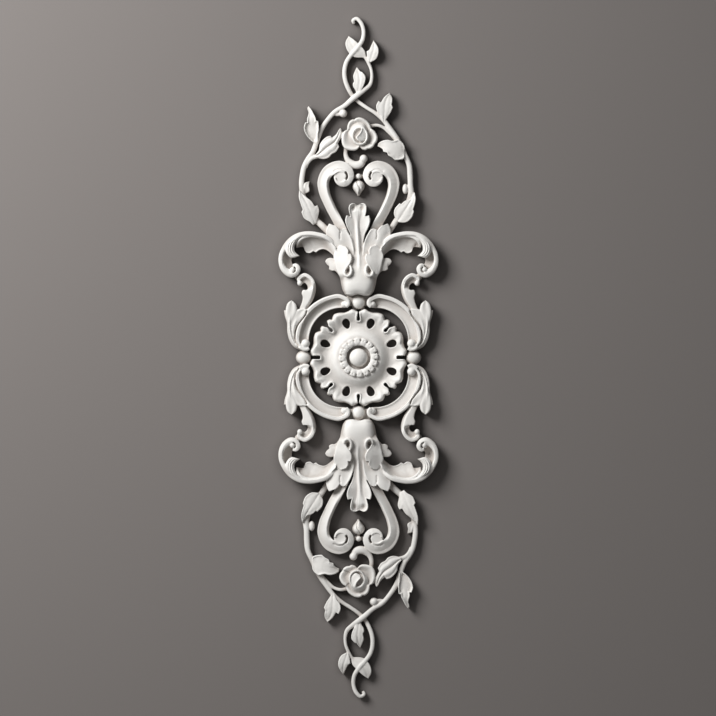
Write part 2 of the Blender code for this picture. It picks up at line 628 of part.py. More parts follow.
def webs():
    """Low bridges at the back that join forms whose fronts stand apart."""
    def bar(x0, x1, z0, z1, top):
        return relief([(x0, z0), (x0, z1)], [(x1, z0), (x1, z1)], lambda s, t: top, columns=1)

    return [
        bar(-13.0, 13.0, 56.5, 71.5, WEB_TOP),
        bar(2.2, 6.4, 50.5, 58.0, WEB_TOP - 1.0),
        bar(-6.4, -2.2, 50.5, 58.0, WEB_TOP - 1.0),
        bar(-64.5, -55.5, -12.0, 12.0, WEB_TOP),
        bar(-58.0, -50.5, 2.2, 5.4, WEB_TOP - 1.0),
        bar(-58.0, -50.5, -5.4, -2.2, WEB_TOP - 1.0),
        bar(-8.0, 8.0, 197.0, 201.0, WEB_TOP),
        bar(-1.6, 1.6, 178.0, 198.5, WEB_TOP - 1.0),
    ]


def rosette_radius(angle):
    """Outline of one eighth, from a straight slot to a slanted one, repeated and mirrored."""
    step = math.pi / 4
    a = math.degrees(angle % step)
    if int(angle // step) % 2:
        a = 45.0 - a
    stops = (0.0, 3.4, 5.2, 8.0, 12.5, 17.5, 24.4, 29.5, 32.6, 35.0, 37.4, 40.5, 42.7, 45.0)
    radii = (50.5, 51.5, 52.9, 53.9, 52.0, 51.6, 53.9, 54.6, 52.9, 50.6, 52.8, 53.2, 51.0, 48.5)
    return float(np.interp(a, stops, radii))


def rosette():
    """Pierced rosette: eight scalloped petals round a ring of pearls and a button."""
    def height(f, a):
        return ROSETTE_EDGE + (ROSETTE_SHOULDER - ROSETTE_EDGE) * min(1.0, (1 - f) / 0.4)

    def pearl_radius(a):
        return PEARL_OUTSIDE * (0.93 + 0.07 * abs(math.sin(PEARL_COUNT * a / 2)))

    def pearls(f, a):
        return PEARL_TOP if 0.6 < f < 0.9 else PEARL_TOP - 5.0

    return [
        mound(0.0, 0.0, rosette_radius, height, 96, (1.0, 0.88, 0.55)),
        mound(0.0, 0.0, pearl_radius, pearls, 4 * PEARL_COUNT, (1.0, 0.88, 0.64, 0.55)),
        dome(0.0, 0.0, BUTTON_RADIUS, BUTTON_RADIUS, BUTTON_TOP, around=16),
    ]


def piercings():
    """Cutters for the eight oval holes and the eight keyhole slots."""
    cutters = []
    for k in range(PETALS):
        a = 2 * math.pi * (k + 0.5) / PETALS
        radial, across = np.array((math.cos(a), math.sin(a))), np.array((-math.sin(a), math.cos(a)))
        ring = []
        for i in range(8):
            b = 2 * math.pi * i / 8
            ring.append(radial * (HOLE_RING + HOLE_ALONG * math.cos(b)) + across * HOLE_ACROSS * math.sin(b))
        cutters.append(prism(ring))
        a = 2 * math.pi * k / PETALS
        radial, across = np.array((math.cos(a), math.sin(a))), np.array((-math.sin(a), math.cos(a)))
        ring = [radial * SLOT_MOUTH - across * SLOT_OPEN, radial * SLOT_NECK - across * SLOT_OPEN]
        for i in range(5):
            b = math.radians(-50 - 65 * i)
            centre = radial * (SLOT_BOTTOM + SLOT_ROUND)
            ring.append(centre + (radial * math.cos(b) + across * math.sin(b)) * SLOT_ROUND)
        ring += [radial * SLOT_NECK + across * SLOT_OPEN, radial * SLOT_MOUTH + across * SLOT_OPEN]
        cutters.append(prism(ring))
    return cutters


def prism(ring):
    """Cutter through the whole depth on a closed outline."""
    count = len(ring)
    points = [(x, z, h) for h in (-2 * SINK, CUT_DEPTH) for x, z in ring]
    faces = [list(range(count)), list(range(count, 2 * count))]
    faces += [[k, (k + 1) % count, count + (k + 1) % count, count + k] for k in range(count)]
    return np.array(points), faces


def to_object(form, name):
    """Blender object of a form, in metres, with its faces pointing out."""
    points, faces = form
    mesh = bpy.data.meshes.new(name)
    mesh.from_pydata([(x * MM, -h * MM, z * MM) for x, z, h in points], [], faces)
    shape = bmesh.new()
    shape.from_mesh(mesh)
    bmesh.ops.triangulate(shape, faces=[f for f in shape.faces if len(f.verts) > 3])
    bmesh.ops.recalc_face_normals(shape, faces=shape.faces)
    shape.to_mesh(mesh)
    shape.free()
    piece = bpy.data.objects.new(name, mesh)
    bpy.context.collection.objects.link(piece)
    return piece


def apply_modifiers(piece):
    """Give an object the mesh that its modifiers make."""
    bpy.context.view_layer.update()
    result = bpy.data.meshes.new_from_object(piece.evaluated_get(bpy.context.evaluated_depsgraph_get()))
    piece.modifiers.clear()
    piece.data = result


def combine(base, others, operation):
    """Apply one Boolean of base with all the other objects, and remove them."""
    group = bpy.data.collections.new("operands")
    bpy.context.scene.collection.children.link(group)
    for other in others:
        group.objects.link(other)
    cut = base.modifiers.new("combine", "BOOLEAN")
    cut.operation = operation
    cut.operand_type = "COLLECTION"
    cut.collection = group
    cut.solver = SOLVER
    apply_modifiers(base)
    for other in others:
        bpy.data.objects.remove(other)
    bpy.data.collections.remove(group)


def casting():
    """The whole applique as one closed body with a flat back."""
    half = upper_half() + webs()
    forms = half + [turned(form) for form in half]
    centre = [to_object(form, "centre") for form in rosette()]
    body = centre[0]
    combine(body, centre[1:], "UNION")
    combine(body, [to_object(form, "piercing") for form in piercings()], "DIFFERENCE")
    combine(body, [to_object(form, "form") for form in forms], "UNION")
    behind = prism([(-300.0, -500.0), (300.0, -500.0), (300.0, 500.0), (-300.0, 500.0)])
    behind[0][:, 2] = np.where(behind[0][:, 2] > 0, 0.0, -CUT_DEPTH)
    combine(body, [to_object(behind, "behind")], "DIFFERENCE")
    lighten(body)
    return body


def lighten(body):
    """Merge the small facets that the joins leave."""
    decimate = body.modifiers.new("lighten", "DECIMATE")
    decimate.ratio = KEPT_SHARE
    decimate.use_collapse_triangulate = True
    apply_modifiers(body)


def painted_resin():
    """Matt off-white paint on cast resin."""
    material = bpy.data.materials.new("painted_resin")
    material.use_nodes = True
    shader = material.node_tree.nodes["Principled BSDF"]
    shader.inputs["Base Color"].default_value = (0.90, 0.89, 0.87, 1.0)
    shader.inputs["Roughness"].default_value = 0.6
    shader.inputs["Metallic"].default_value = 0.0
    return material


def main():
    for old in list(bpy.data.objects):
        bpy.data.objects.remove(old)
    body = casting()
    body.name = "scroll_applique"
    body.data.name = "scroll_applique"
    body.data.materials.clear()
    body.data.materials.append(painted_resin())
    body.data.shade_smooth()
    body.data.set_sharp_from_angle(angle=math.radians(40))


main()
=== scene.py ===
"""Looks of the scroll applique: the finely carved casting, its paint, the wall, the light and the camera.

The carving is worked out in millimetres: x runs to the right, z runs up, and a height stands out of the
wall towards the viewer. The upper half is carved, and the lower half is the same carving turned half
round. All forms are then fused into one skin, smoothed as thick paint would, and thinned.
"""

import math

import bmesh
import bpy
import numpy as np
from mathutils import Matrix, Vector

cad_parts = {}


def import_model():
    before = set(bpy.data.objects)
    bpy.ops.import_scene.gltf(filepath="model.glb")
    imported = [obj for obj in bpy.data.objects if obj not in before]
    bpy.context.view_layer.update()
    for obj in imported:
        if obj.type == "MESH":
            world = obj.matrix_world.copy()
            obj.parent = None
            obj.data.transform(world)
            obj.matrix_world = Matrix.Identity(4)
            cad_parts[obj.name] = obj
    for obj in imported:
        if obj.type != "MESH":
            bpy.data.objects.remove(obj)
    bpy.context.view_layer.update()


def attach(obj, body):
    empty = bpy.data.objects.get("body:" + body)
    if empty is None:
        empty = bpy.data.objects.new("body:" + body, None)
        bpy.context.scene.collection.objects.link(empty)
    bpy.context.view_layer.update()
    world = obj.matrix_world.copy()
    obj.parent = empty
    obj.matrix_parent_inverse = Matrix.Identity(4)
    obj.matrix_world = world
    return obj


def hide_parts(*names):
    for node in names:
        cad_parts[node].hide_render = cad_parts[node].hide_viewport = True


MM = 0.001
FAR = 1e9
CASTING = "scroll_applique_casting"

# Third value of a knot where a rail has a corner
SHARP = 1

# Spacing of the carved surface, the least height of a form, how far its foot stands in under its edge,
# and how near to a slit's start a form comes that is cut by it
GRAIN = 0.7
THINNEST = 0.6
FOOT = 0.5
STEM_FOOT = 0.6
SLIT_REACH = 40.0

# Size of the cells that fuse the forms, facets kept, and rounds of smoothing
CELL = 0.0005
FACETS = 190000
SOFTENING = 1

# How near the wall a point is laid flat on it, how near two points are one, and how few are a speck
BACK_SNAP = 0.0004
SAME_POINT = 1e-5
SPECK = 200

# How the hollows are found: cell of the height map, reach of its blur and depth of a full hollow
MAP_CELL = 0.0008
HOLLOW_REACH = 0.0032
HOLLOW_DEPTH = 0.0026

# The value that marks them for painted shade: its name, how much it is on level ground, how much is
# added on the rose, which is painted darker and warmer towards its centre, and the distances from the
# rose's centre between which that fades
HOLLOW = "hollow"
LEVEL_GROUND = 0.15
ROSE_DARKER = 0.2
ROSE_DARKER_FADE = (22.0, 14.0)

# Kinds of shader sockets
NUMBER = "NodeSocketFloat"
COLOUR = "NodeSocketColor"

# The paint: its colour on crests and the greyer, warmer painted shade in hollows, and sizes in metres of
# the patches in that painted shade, of its lighter and darker patches, and of its grain and brush marks
CREST_PAINT = (0.84, 0.832, 0.812, 1.0)
HOLLOW_SHADE_COLOUR = (0.54, 0.505, 0.475, 1.0)
PATCH_SIZE = 0.012
TONE_SIZE = 0.03
GRAIN_SIZE = 0.0009
BRUSH_SIZE = 0.007

# The ring of four C-scrolls: its arcs, and the points where a rim curls round a ball at either end
RING_SHIFT = 18.7
RING_INSIDE = 35.8
RING_OUTSIDE = 50.9
RING_RIM = 2.3
RING_CREST = 15.0
RING_START = [(-54.4, 10.6), (-57.5, 9.2), (-61.0, 9.9), (-64.8, 13.0)]
RING_END = [(-16.2, 65.4), (-12.0, 62.6), (-11.4, 58.6), (-14.0, 56.0)]

# The rosette
CUTTER_ENDS = (-2.0, 40.0)
PETALS = 8
HOLE_RING = 39.3
HOLE_ACROSS = 4.1
HOLE_ALONG = 5.7
HOLE_TAPER = 0.22
HOLE_CORNERS = 28
# Degrees added to the angles of four holes in a row, which bring two of them nearer to an upright slot
HOLE_SHIFTS = (0.0, 2.8, -2.8, 0.0)
BUTTON_RADIUS = 10.2
CROWN_PETALS = 16
CROWN_INSIDE = 13.2
CROWN_OUTSIDE = 21.6
CROWN_TURN = math.radians(-7.5)

# Half widths of the slots at distances from the middle: level, upright and slanted ones
LEVEL_SLOT = ((41.9, 1.3), (42.3, 1.9), (58.0, 1.9))
UPRIGHT_SLOT = ((40.3, 0.9), (40.9, 1.6), (43.0, 1.7), (46.0, 1.2), (49.0, 0.7), (58.0, 0.7))
SLANTED_SLOT = (
    (40.2, 0.9), (40.8, 1.5), (42.0, 1.8), (43.5, 1.6), (46.5, 0.9), (48.5, 1.5), (50.0, 2.7),
    (58.0, 3.2),
)
SLOTS = (LEVEL_SLOT, SLANTED_SLOT, UPRIGHT_SLOT, SLANTED_SLOT)

# Heights of the stem that crosses on top, of the heart's band and of the arm's rim
STEM_OVER = 10.5
HEART_CREST = 14.6
ARM_CREST = 18.0


class Spot:
    """Where the points of a form lie on it.

    s runs along it from 0 to 1 and t across it from -1 to 1; the others are in millimetres:
    along it, from its left, right and nearer edge, and the places x and z.
    """

    def __init__(self, s, t, along, left, right, x, z):
        self.s = s
        self.t = t
        self.along = along
        self.left = left
        self.right = right
        self.edge = np.minimum(left, right)
        self.x = x
        self.z = z


def ridge(distance, width):
    """Soft ridge: 1 on its line and 0 from its width on."""
    u = np.clip(np.abs(distance) / width, 0.0, 1.0)
    return (1 - u * u) ** 2


def ramp(value, low, high):
    """Smooth step from 0 at low to 1 at high."""
    u = np.clip((value - low) / (high - low), 0.0, 1.0)
    return u * u * (3 - 2 * u)


def rounding(edge, radius):
    """How far a quarter-round edge has dropped at a distance from the edge."""
    u = np.clip(1 - edge / radius, 0.0, 1.0)
    return radius * (1 - np.sqrt(1 - u * u))


def through(rows, corners, counts):
    """Smooth line through rows that start with x and z, with the given samples for each stretch."""
    rows = np.array(rows, float)
    gaps = np.maximum(np.hypot(*(rows[1:, :2] - rows[:-1, :2]).T), 1e-6)
    slopes = (rows[1:] - rows[:-1]) / gaps[:, None]

    def slope_at(knot, side):
        if knot == 0 or knot == len(gaps) or knot in corners:
            return slopes[side]
        before, after = gaps[knot - 1], gaps[knot]
        return (slopes[knot - 1] * after + slopes[knot] * before) / (before + after)

    line = []
    for i, (gap, count) in enumerate(zip(gaps, counts)):
        start, end = slope_at(i, i) * gap, slope_at(i + 1, i) * gap
        u = (np.arange(count) / count)[:, None]
        line.append(
            rows[i] * (2 * u ** 3 - 3 * u ** 2 + 1)
            + start * (u ** 3 - 2 * u ** 2 + u)
            + rows[i + 1] * (3 * u ** 2 - 2 * u ** 3)
            + end * (u ** 3 - u ** 2)
        )
    line.append(rows[-1:])
    return np.concatenate(line)


def lengths(knots):
    points = np.array([knot[:2] for knot in knots], float)
    return np.hypot(*(points[1:] - points[:-1]).T)


def distance_along(line):
    """Distance of every point from the start of a line, as a column."""
    return np.concatenate([[0.0], np.cumsum(lengths(line))])[:, None]


def rail(knots, counts):
    corners = [i for i, knot in enumerate(knots) if len(knot) == 3]
    return through([knot[:2] for knot in knots], corners, counts)


def cove(p, high, low, lip=0.0):
    """Hollow that falls from its left side and levels out towards its right edge."""
    share = p.left / np.maximum(p.left + p.right, 0.1)
    return low + (high - low) * (1 - share) ** 2 + lip * ridge(p.right - 0.6, 1.0)


def around(x, z, radius, degrees):
    """Point at a distance from a centre, at an angle from +x towards +z."""
    a = math.radians(degrees)
    return x + radius * math.cos(a), z + radius * math.sin(a)


def arc(x, z, radius, first, last, count):
    return [around(x, z, radius, degrees) for degrees in np.linspace(first, last, count)]


def seen_along(x, z, a):
    """Places measured along a direction and across it."""
    return x * math.cos(a) + z * math.sin(a), -x * math.sin(a) + z * math.cos(a)


def ellipse(wide, tall, a):
    """Radius of an ellipse at an angle."""
    return wide * tall / np.hypot(tall * np.cos(a), wide * np.sin(a))


def grid_faces(rows, columns, wrap=False):
    """Quads of a grid of points, row by row; wrap joins its last column to its first."""
    last = columns if wrap else columns - 1
    row, column = np.meshgrid(np.arange(rows - 1), np.arange(last), indexing="ij")
    a = row * columns + column
    b = row * columns + (column + 1) % columns
    return np.stack([a, b, b + columns, a + columns], axis=-1).reshape(-1, 4)


def carved_out(x, z):
    """Depth of the pits and slits that are cut through several forms at once, on both sides."""
    x = -np.abs(x)
    depth = np.zeros_like(x)
    for pit_x, pit_z, radius_x, radius_z, deep in PITS:
        off = np.hypot((x - pit_x) / radius_x, (z - pit_z) / radius_z)
        depth = np.maximum(depth, deep * ridge(off, 1.0))
    for line, width, deep in SLITS:
        if np.hypot(x - line[0][0], z - line[0][1]).min() < SLIT_REACH:
            depth = np.maximum(depth, deep * ridge(distance_to(x, z, line), width))
    return depth


def closed(front_x, front_z, height, back_x, back_z, faces, walls):
    """Points and quads of a closed form: its carved front, its flat back and its side walls."""
    front = np.stack([front_x, front_z, np.maximum(height, THINNEST)], axis=-1).reshape(-1, 3)
    back = np.stack([back_x, back_z, np.zeros_like(back_x)], axis=-1).reshape(-1, 3)
    quads = [faces[:, ::-1], faces + len(front), walls[:, ::-1]]
    return np.concatenate([front, back]), np.concatenate(quads)


def slab(x, z, height, foot_x=None, foot_z=None):
    """Closed form on a grid of places. Its back may stand a little further in."""
    rows, columns = x.shape
    foot_x = x if foot_x is None else foot_x
    foot_z = z if foot_z is None else foot_z
    index = np.arange(rows * columns).reshape(rows, columns)
    rim = np.concatenate([index[0], index[1:, -1], index[-1, -2::-1], index[-2:0:-1, 0]])
    after = np.roll(rim, -1)
    count = rows * columns
    walls = np.stack([rim, rim + count, after + count, after], axis=-1)
    return closed(x, z, height - carved_out(x, z), foot_x, foot_z, grid_faces(rows, columns), walls)


def relief(left, right, height, spine=None, edge=0.9, blunt=False):
    """Carved strip between two rails, whose cross lines bend at a spine where there is one.

    The edge is the radius of its rounded sides, and a blunt strip is rounded at its end too.
    """
    counts = np.maximum(1, np.ceil(np.maximum(lengths(left), lengths(right)) / GRAIN).astype(int))
    a, b = rail(left, counts), rail(right, counts)
    middle = (a + b) / 2
    if spine is not None:
        dense = rail(spine, [30] * (len(spine) - 1))
        places = np.linspace(0.0, len(dense) - 1.0, len(a))
        middle = np.stack([np.interp(places, np.arange(len(dense)), axis) for axis in dense.T], axis=-1)
        middle[-1] = (a[-1] + b[-1]) / 2
    side_a, side_b = np.hypot(*(a - middle).T)[:, None], np.hypot(*(b - middle).T)[:, None]
    columns = 2 * int(np.ceil(max(side_a.max(), side_b.max()) / GRAIN)) + 1
    t = np.linspace(-1.0, 1.0, columns)[None, :]
    along = distance_along(middle)
    side = np.where(t < 0, side_a, side_b)

    def places(reach):
        push = np.abs(t)[:, :, None] * reach
        rails = np.where(t[:, :, None] < 0, a[:, None], b[:, None])
        return middle[:, None] + (rails - middle[:, None]) * push

    points = places(np.ones_like(side)[:, :, None])
    inner = places((1 - FOOT / np.maximum(side, 2 * FOOT + 0.01))[:, :, None])
    from_left = np.where(t < 0, (1 + t) * side_a, side_a + t * side_b)
    from_right = np.where(t > 0, (1 - t) * side_b, side_b - t * side_a)
    spot = Spot(along / along[-1], t, along, from_left, from_right, points[..., 0], points[..., 1])
    carved = height(spot) + 0 * side
    near = np.minimum(spot.edge, along[-1] - along) if blunt else spot.edge
    rounded = carved - rounding(near, edge)
    return slab(points[..., 0], points[..., 1], rounded, inner[..., 0], inner[..., 1])


def sweep(path, profile=None, flatness=1.0):
    """Moulding on a path of x, z, half width and crest: round, and flatter below a flatness of 1."""
    line = through(path, [], np.maximum(1, np.ceil(lengths(path) / GRAIN).astype(int)))
    heading = np.gradient(line[:, :2], axis=0)
    heading /= np.hypot(*heading.T)[:, None]
    half, crest = line[:, 2:3], line[:, 3:4]
    columns = 2 * int(np.ceil(half.max() / GRAIN * 1.3)) + 5
    turns = np.linspace(0.0, math.pi, columns)[None, :]
    t = -np.cos(turns)
    wall = np.maximum(crest - half, 0.45 * crest)
    height = wall + (crest - wall) * np.sin(turns) ** flatness
    across = np.stack([-heading[:, 1], heading[:, 0]], axis=-1)[:, None]
    points = line[:, None, :2] - across * (half * t)[:, :, None]
    inner = line[:, None, :2] - across * (np.maximum(half - STEM_FOOT, 0.6 * half) * t)[:, :, None]
    x, z = points[..., 0], points[..., 1]
    if profile is not None:
        along = distance_along(line)
        height = height + profile(Spot(along / along[-1], t, along, (1 + t) * half, (1 - t) * half, x, z))
    return slab(x, z, height, inner[..., 0], inner[..., 1])


def mound(x, z, radius, height, around, rings):
    """Rounded form on a closed outline; radius(angle) and height(fraction, angle) in mm."""
    angles = np.linspace(0.0, 2 * math.pi, around, endpoint=False)[None, :]
    fractions = np.linspace(1.0, 0.0, rings)[:, None]
    reach = radius(angles)
    inset = 1 - FOOT / np.maximum(reach, 2 * FOOT)
    front_x, front_z = x + fractions * reach * np.cos(angles), z + fractions * reach * np.sin(angles)
    back_x = x + fractions * reach * inset * np.cos(angles)
    back_z = z + fractions * reach * inset * np.sin(angles)
    carved = height(fractions, angles) + 0 * reach - carved_out(front_x, front_z)
    count = rings * around
    rim = np.arange(around)
    after = np.roll(rim, -1)
    walls = np.stack([rim, after, after + count, rim + count], axis=-1)
    return closed(front_x, front_z, carved, back_x, back_z, grid_faces(rings, around, wrap=True), walls)


def dome(x, z, radius_x, radius_z, top, wall=0.4, carve=None):
    """Ball-like bead or bud, on walls of a share of its height."""
    low = max(top - min(radius_x, radius_z), wall * top)

    def radius(a):
        return ellipse(radius_x, radius_z, a)

    def height(f, a):
        lift = low + (top - low) * np.sqrt(np.maximum(0.0, 1 - f * f))
        return lift if carve is None else lift + carve(f, a)

    size = max(radius_x, radius_z)
    return mound(x, z, radius, height, int(2 * math.pi * size / GRAIN) + 8, int(size / GRAIN) + 4)


def mirrored(form):
    points, faces = form
    return points * (-1, 1, 1), faces[:, ::-1]


def turned(form):
    points, faces = form
    return points * (-1, -1, 1), faces


def leaf(left, right, crest, tilt, groove, cup):
    """Leaf with a raised rim, from its stalk to its tip: creased along its midrib, or hollow as a cup."""
    def between(a, b):
        return (a[0] + b[0]) / 2, (a[1] + b[1]) / 2

    base = between(left[0], right[0])
    half = len(left) // 2
    belly = between(left[half], right[half])

    def height(p):
        rise = 0.76 + 0.24 * np.sin(math.pi * np.minimum(1.0, p.s * 1.1))
        lobes = (0.1 + 1.4 * groove) * np.sin(math.pi * np.minimum(1.0, 1.3 * np.abs(p.t)))
        middle = np.abs(p.t) * np.maximum(p.left + p.right, 0.1) / 2
        crease = groove * ridge(middle, 0.9) * ramp(1 - p.s, 0.0, 0.25)
        slanting = np.cos(2 * math.pi * (p.along / 4.2 - np.abs(p.t) * 0.9))
        vein = 0.08 * slanting * ramp(np.abs(p.t), 0.1, 0.5)
        rim = 0.45 * ridge(p.edge - 0.8, 1.0)
        hollow = cup * ramp(p.edge, 0.4, 3.0) * ramp(p.s, 0.72, 0.36)
        return crest * rise + lobes - crease + vein * ramp(p.edge, 0.3, 1.5) + rim - hollow + tilt * p.t

    return relief(left, right, height, spine=[base, between(base, belly), belly, left[-1][:2]], edge=0.8)


# Each leaf has a left and a right rail from its base to its tip, then its crest, its lean to one side,
# the depth of its midrib and the depth of its cup
LEAVES = (
    # top left leaf
    ([(5.5, 329.1), (-5.4, 330.3), (-13.0, 338.6), (-14.3, 346.2), (-10.9, 353.3, SHARP)],
     [(8.2, 332.2), (6.8, 337.2), (2.2, 342.3), (-5.4, 349.5), (-10.9, 353.3, SHARP)],
     8.5, 0.5, 0.1, 0.0),
    # top right leaf
    ([(10.8, 325.1), (9.4, 331.0), (8.9, 336.1, SHARP), (11.8, 337.7, SHARP), (14.0, 342.8),
      (16.5, 348.6, SHARP)],
     [(13.8, 324.3), (19.2, 327.5), (22.1, 333.9), (21.8, 339.9), (20.1, 343.4), (16.5, 348.6, SHARP)],
     10.5, 0.4, 0.2, 0.0),
    # leaf in the loop
    ([(-2.2, 288.0), (-3.4, 293.4), (-5.8, 297.4), (-6.3, 300.6, SHARP), (-4.8, 303.2, SHARP),
      (-5.8, 309.1), (-3.9, 314.9), (-1.9, 319.2, SHARP)],
     [(0.4, 288.0), (2.8, 293.0), (5.6, 298.3), (7.6, 304.0), (7.6, 309.1), (4.3, 313.3, SHARP),
      (2.1, 314.2, SHARP), (-1.9, 319.2, SHARP)],
     10.5, 0.6, 0.2, 0.0),
    # upper right leaf
    ([(26.3, 259.5), (23.9, 266.1), (20.4, 270.7), (19.5, 276.5), (21.9, 281.9, SHARP),
      (24.3, 279.5, SHARP), (28.7, 286.4), (34.2, 290.8, SHARP)],
     [(29.3, 259.5), (32.7, 264.8), (34.7, 267.7), (38.1, 274.6, SHARP), (36.6, 277.5, SHARP),
      (37.3, 281.6), (37.1, 285.5), (34.2, 290.8, SHARP)],
     10.5, -0.4, 0.2, 0.0),
    # upper left leaf
    ([(-48.6, 235.2), (-55.0, 241.0), (-58.0, 245.4), (-60.0, 252.8), (-58.4, 258.2, SHARP),
      (-56.2, 257.7, SHARP), (-56.5, 261.1), (-54.8, 268.5), (-56.0, 274.5), (-54.9, 276.2, SHARP)],
     [(-44.3, 236.8), (-44.6, 245.9), (-43.6, 250.3), (-43.7, 255.2), (-44.2, 259.7, SHARP),
      (-46.4, 259.7, SHARP), (-47.2, 263.6), (-48.6, 266.5, SHARP), (-52.0, 272.8),
      (-54.9, 276.2, SHARP)],
     12.0, 0.8, 0.0, 3.0),
    # leaf beside the rose
    ([(-47.1, 223.1), (-43.7, 227.2), (-42.2, 234.2), (-38.8, 239.0), (-34.1, 242.6),
      (-30.5, 243.4, SHARP), (-29.5, 241.0, SHARP), (-24.8, 244.8), (-21.1, 250.8),
      (-19.7, 252.3, SHARP)],
     [(-46.6, 219.2), (-36.9, 217.9), (-32.5, 219.5), (-29.0, 223.3), (-25.1, 225.3),
      (-21.1, 231.2, SHARP), (-22.7, 234.6, SHARP), (-20.4, 238.7), (-17.5, 247.0),
      (-19.7, 252.3, SHARP)],
     12.5, 0.0, 0.9, 0.0),
    # curled leaf
    ([(51.0, 229.0), (50.6, 232.1), (49.0, 235.2), (44.0, 239.5, SHARP), (40.5, 238.4), (36.6, 237.8),
      (32.7, 238.8), (28.8, 238.6), (24.9, 237.3), (21.5, 234.6), (21.0, 232.0, SHARP)],
     [(50.4, 221.5), (49.6, 218.4), (45.0, 216.8), (40.2, 216.4, SHARP), (36.6, 219.6, SHARP),
      (32.6, 221.6, SHARP), (31.4, 224.8, SHARP), (27.4, 225.6, SHARP), (26.6, 228.6, SHARP),
      (24.0, 230.4), (21.0, 232.0, SHARP)],
     13.5, 0.5, 0.0, 0.8),
    # lower left leaf
    ([(-50.1, 145.5), (-52.7, 148.2), (-59.6, 152.6), (-62.7, 159.5, SHARP), (-61.1, 162.0, SHARP),
      (-62.9, 166.8), (-65.5, 176.6), (-65.1, 183.9, SHARP)],
     [(-45.7, 148.0), (-44.1, 155.7), (-43.2, 163.1), (-45.0, 167.2, SHARP), (-47.9, 165.8, SHARP),
      (-51.2, 171.1), (-57.2, 176.1), (-65.1, 183.9, SHARP)],
     13.0, -0.8, 0.2, 0.0),
    # lower right leaf
    ([(41.8, 150.7), (38.9, 157.2), (39.7, 162.8), (45.4, 169.7, SHARP), (46.4, 168.0, SHARP),
      (50.6, 171.7), (56.1, 173.8), (61.8, 181.5, SHARP)],
     [(44.6, 148.4), (51.8, 148.3), (58.3, 152.9), (61.2, 160.1, SHARP), (60.1, 162.6, SHARP),
      (61.5, 166.7), (62.9, 174.4), (61.8, 181.5, SHARP)],
     13.0, 0.6, 0.3, 0.0),
    # leaflet
    ([(-60.2, 181.0), (-60.2, 187.0), (-58.6, 192.0), (-53.7, 193.6, SHARP)],
     [(-57.0, 180.3), (-54.0, 182.4), (-54.5, 188.4, SHARP), (-53.7, 193.6, SHARP)],
     8.5, 0.0, 0.0, 0.0),
)

# Each path has x, z, half width and crest
HOOKED_TENDRIL = [
    (-4.8, 366.8, 1.5, 6.0), (-6.2, 370.0, 1.8, 7.0), (-2.4, 372.4, 2.0, 7.5), (2.1, 368.6, 2.2, 8.0),
    (5.5, 359.6, 2.2, 8.0), (4.6, 349.5, 2.3, 9.0), (-0.4, 341.1, 2.4, 10.0), (-7.2, 333.5, 2.4, 9.0),
    (-13.0, 325.1, 2.4, 8.0), (-15.5, 314.9, 2.4, 8.0), (-14.7, 304.9, 2.4, 8.0),
    (-11.3, 295.6, 2.4, 7.5), (-6.3, 287.2, 2.3, 6.5), (-0.4, 281.3, 2.1, 6.5), (8.0, 275.2, 2.0, 7.5),
    (18.9, 268.2, 2.1, 8.0), (27.8, 260.4, 2.4, 8.5), (35.6, 250.0, 2.9, 8.5), (42.5, 239.3, 3.3, 9.0),
    (47.4, 230.5, 3.0, 9.0), (51.4, 221.7, 2.8, 9.0), (55.6, 211.8, 3.0, 9.0), (56.8, 200.0, 3.2, 9.0),
    (57.2, 189.2, 3.0, 9.0), (57.8, 181.3, 3.4, 8.5), (55.6, 172.2, 3.2, 8.5), (49.5, 161.2, 3.2, 8.5),
    (40.6, 149.1, 3.2, 9.0), (35.6, 141.0, 3.0, 9.0), (30.0, 133.0, 3.0, 9.0),
]
LEAFY_TENDRIL = [
    (6.0, 332.0, 1.6, 7.0), (10.6, 324.3, 1.8, 7.5), (14.0, 315.8, 1.7, 8.0), (14.7, 308.2, 1.8, 8.0),
    (12.7, 299.9, 2.2, 8.5), (6.4, 293.9, 2.5, 9.5), (-0.4, 288.9, 2.9, STEM_OVER),
    (-6.2, 284.4, 2.9, STEM_OVER), (-14.9, 276.8, 2.6, 9.0), (-26.3, 269.7, 2.5, 8.5),
    (-34.1, 260.8, 2.5, 8.5), (-40.0, 252.0, 2.6, 8.5), (-43.9, 243.2, 2.7, 8.5),
    (-46.9, 234.3, 2.8, 8.5), (-50.3, 225.5, 2.8, 9.0), (-55.7, 217.7, 2.8, 9.0),
    (-59.6, 209.8, 2.9, 9.0), (-61.6, 201.0, 2.9, 9.0), (-62.6, 190.2, 2.9, 9.0),
    (-61.6, 181.3, 2.9, 8.5), (-56.0, 166.0, 2.9, 7.5), (-47.5, 152.0, 3.2, 8.5),
    (-39.1, 144.0, 3.6, 9.5), (-32.1, 137.1, 3.4, 9.5), (-26.5, 130.5, 3.2, 9.5),
]
ROSE_STEM = [
    (40.5, 239.8, 1.8, 7.0), (32.7, 248.1, 1.8, 7.5), (26.8, 253.0, 1.7, 7.5),
    (20.9, 255.0, 1.8, 8.0), (12.0, 254.0, 2.0, 8.0),
]
LEAF_BRANCH = [
    (-58.0, 208.8, 2.0, 8.0), (-56.0, 213.5, 2.0, 9.0), (-51.8, 218.6, 2.3, 9.5),
    (-43.0, 221.5, 2.4, 9.5),
]
BUD_STALK = [(-29.5, 268.5, 2.2, 7.0), (-22.5, 267.0, 1.9, 7.5), (-17.0, 268.2, 1.8, 8.0)]
ROSE_HOOK = [
    (-13.0, 234.0, 2.0, 8.0), (-14.0, 228.6, 2.1, 8.0), (-14.1, 223.1, 2.4, 8.0),
    (-12.4, 217.9, 3.0, 8.5), (-8.4, 213.7, 3.8, 9.5), (-3.1, 211.4, 4.4, 10.5),
    (2.2, 212.6, 4.2, 10.5), (5.0, 216.6, 3.6, 10.0),
]

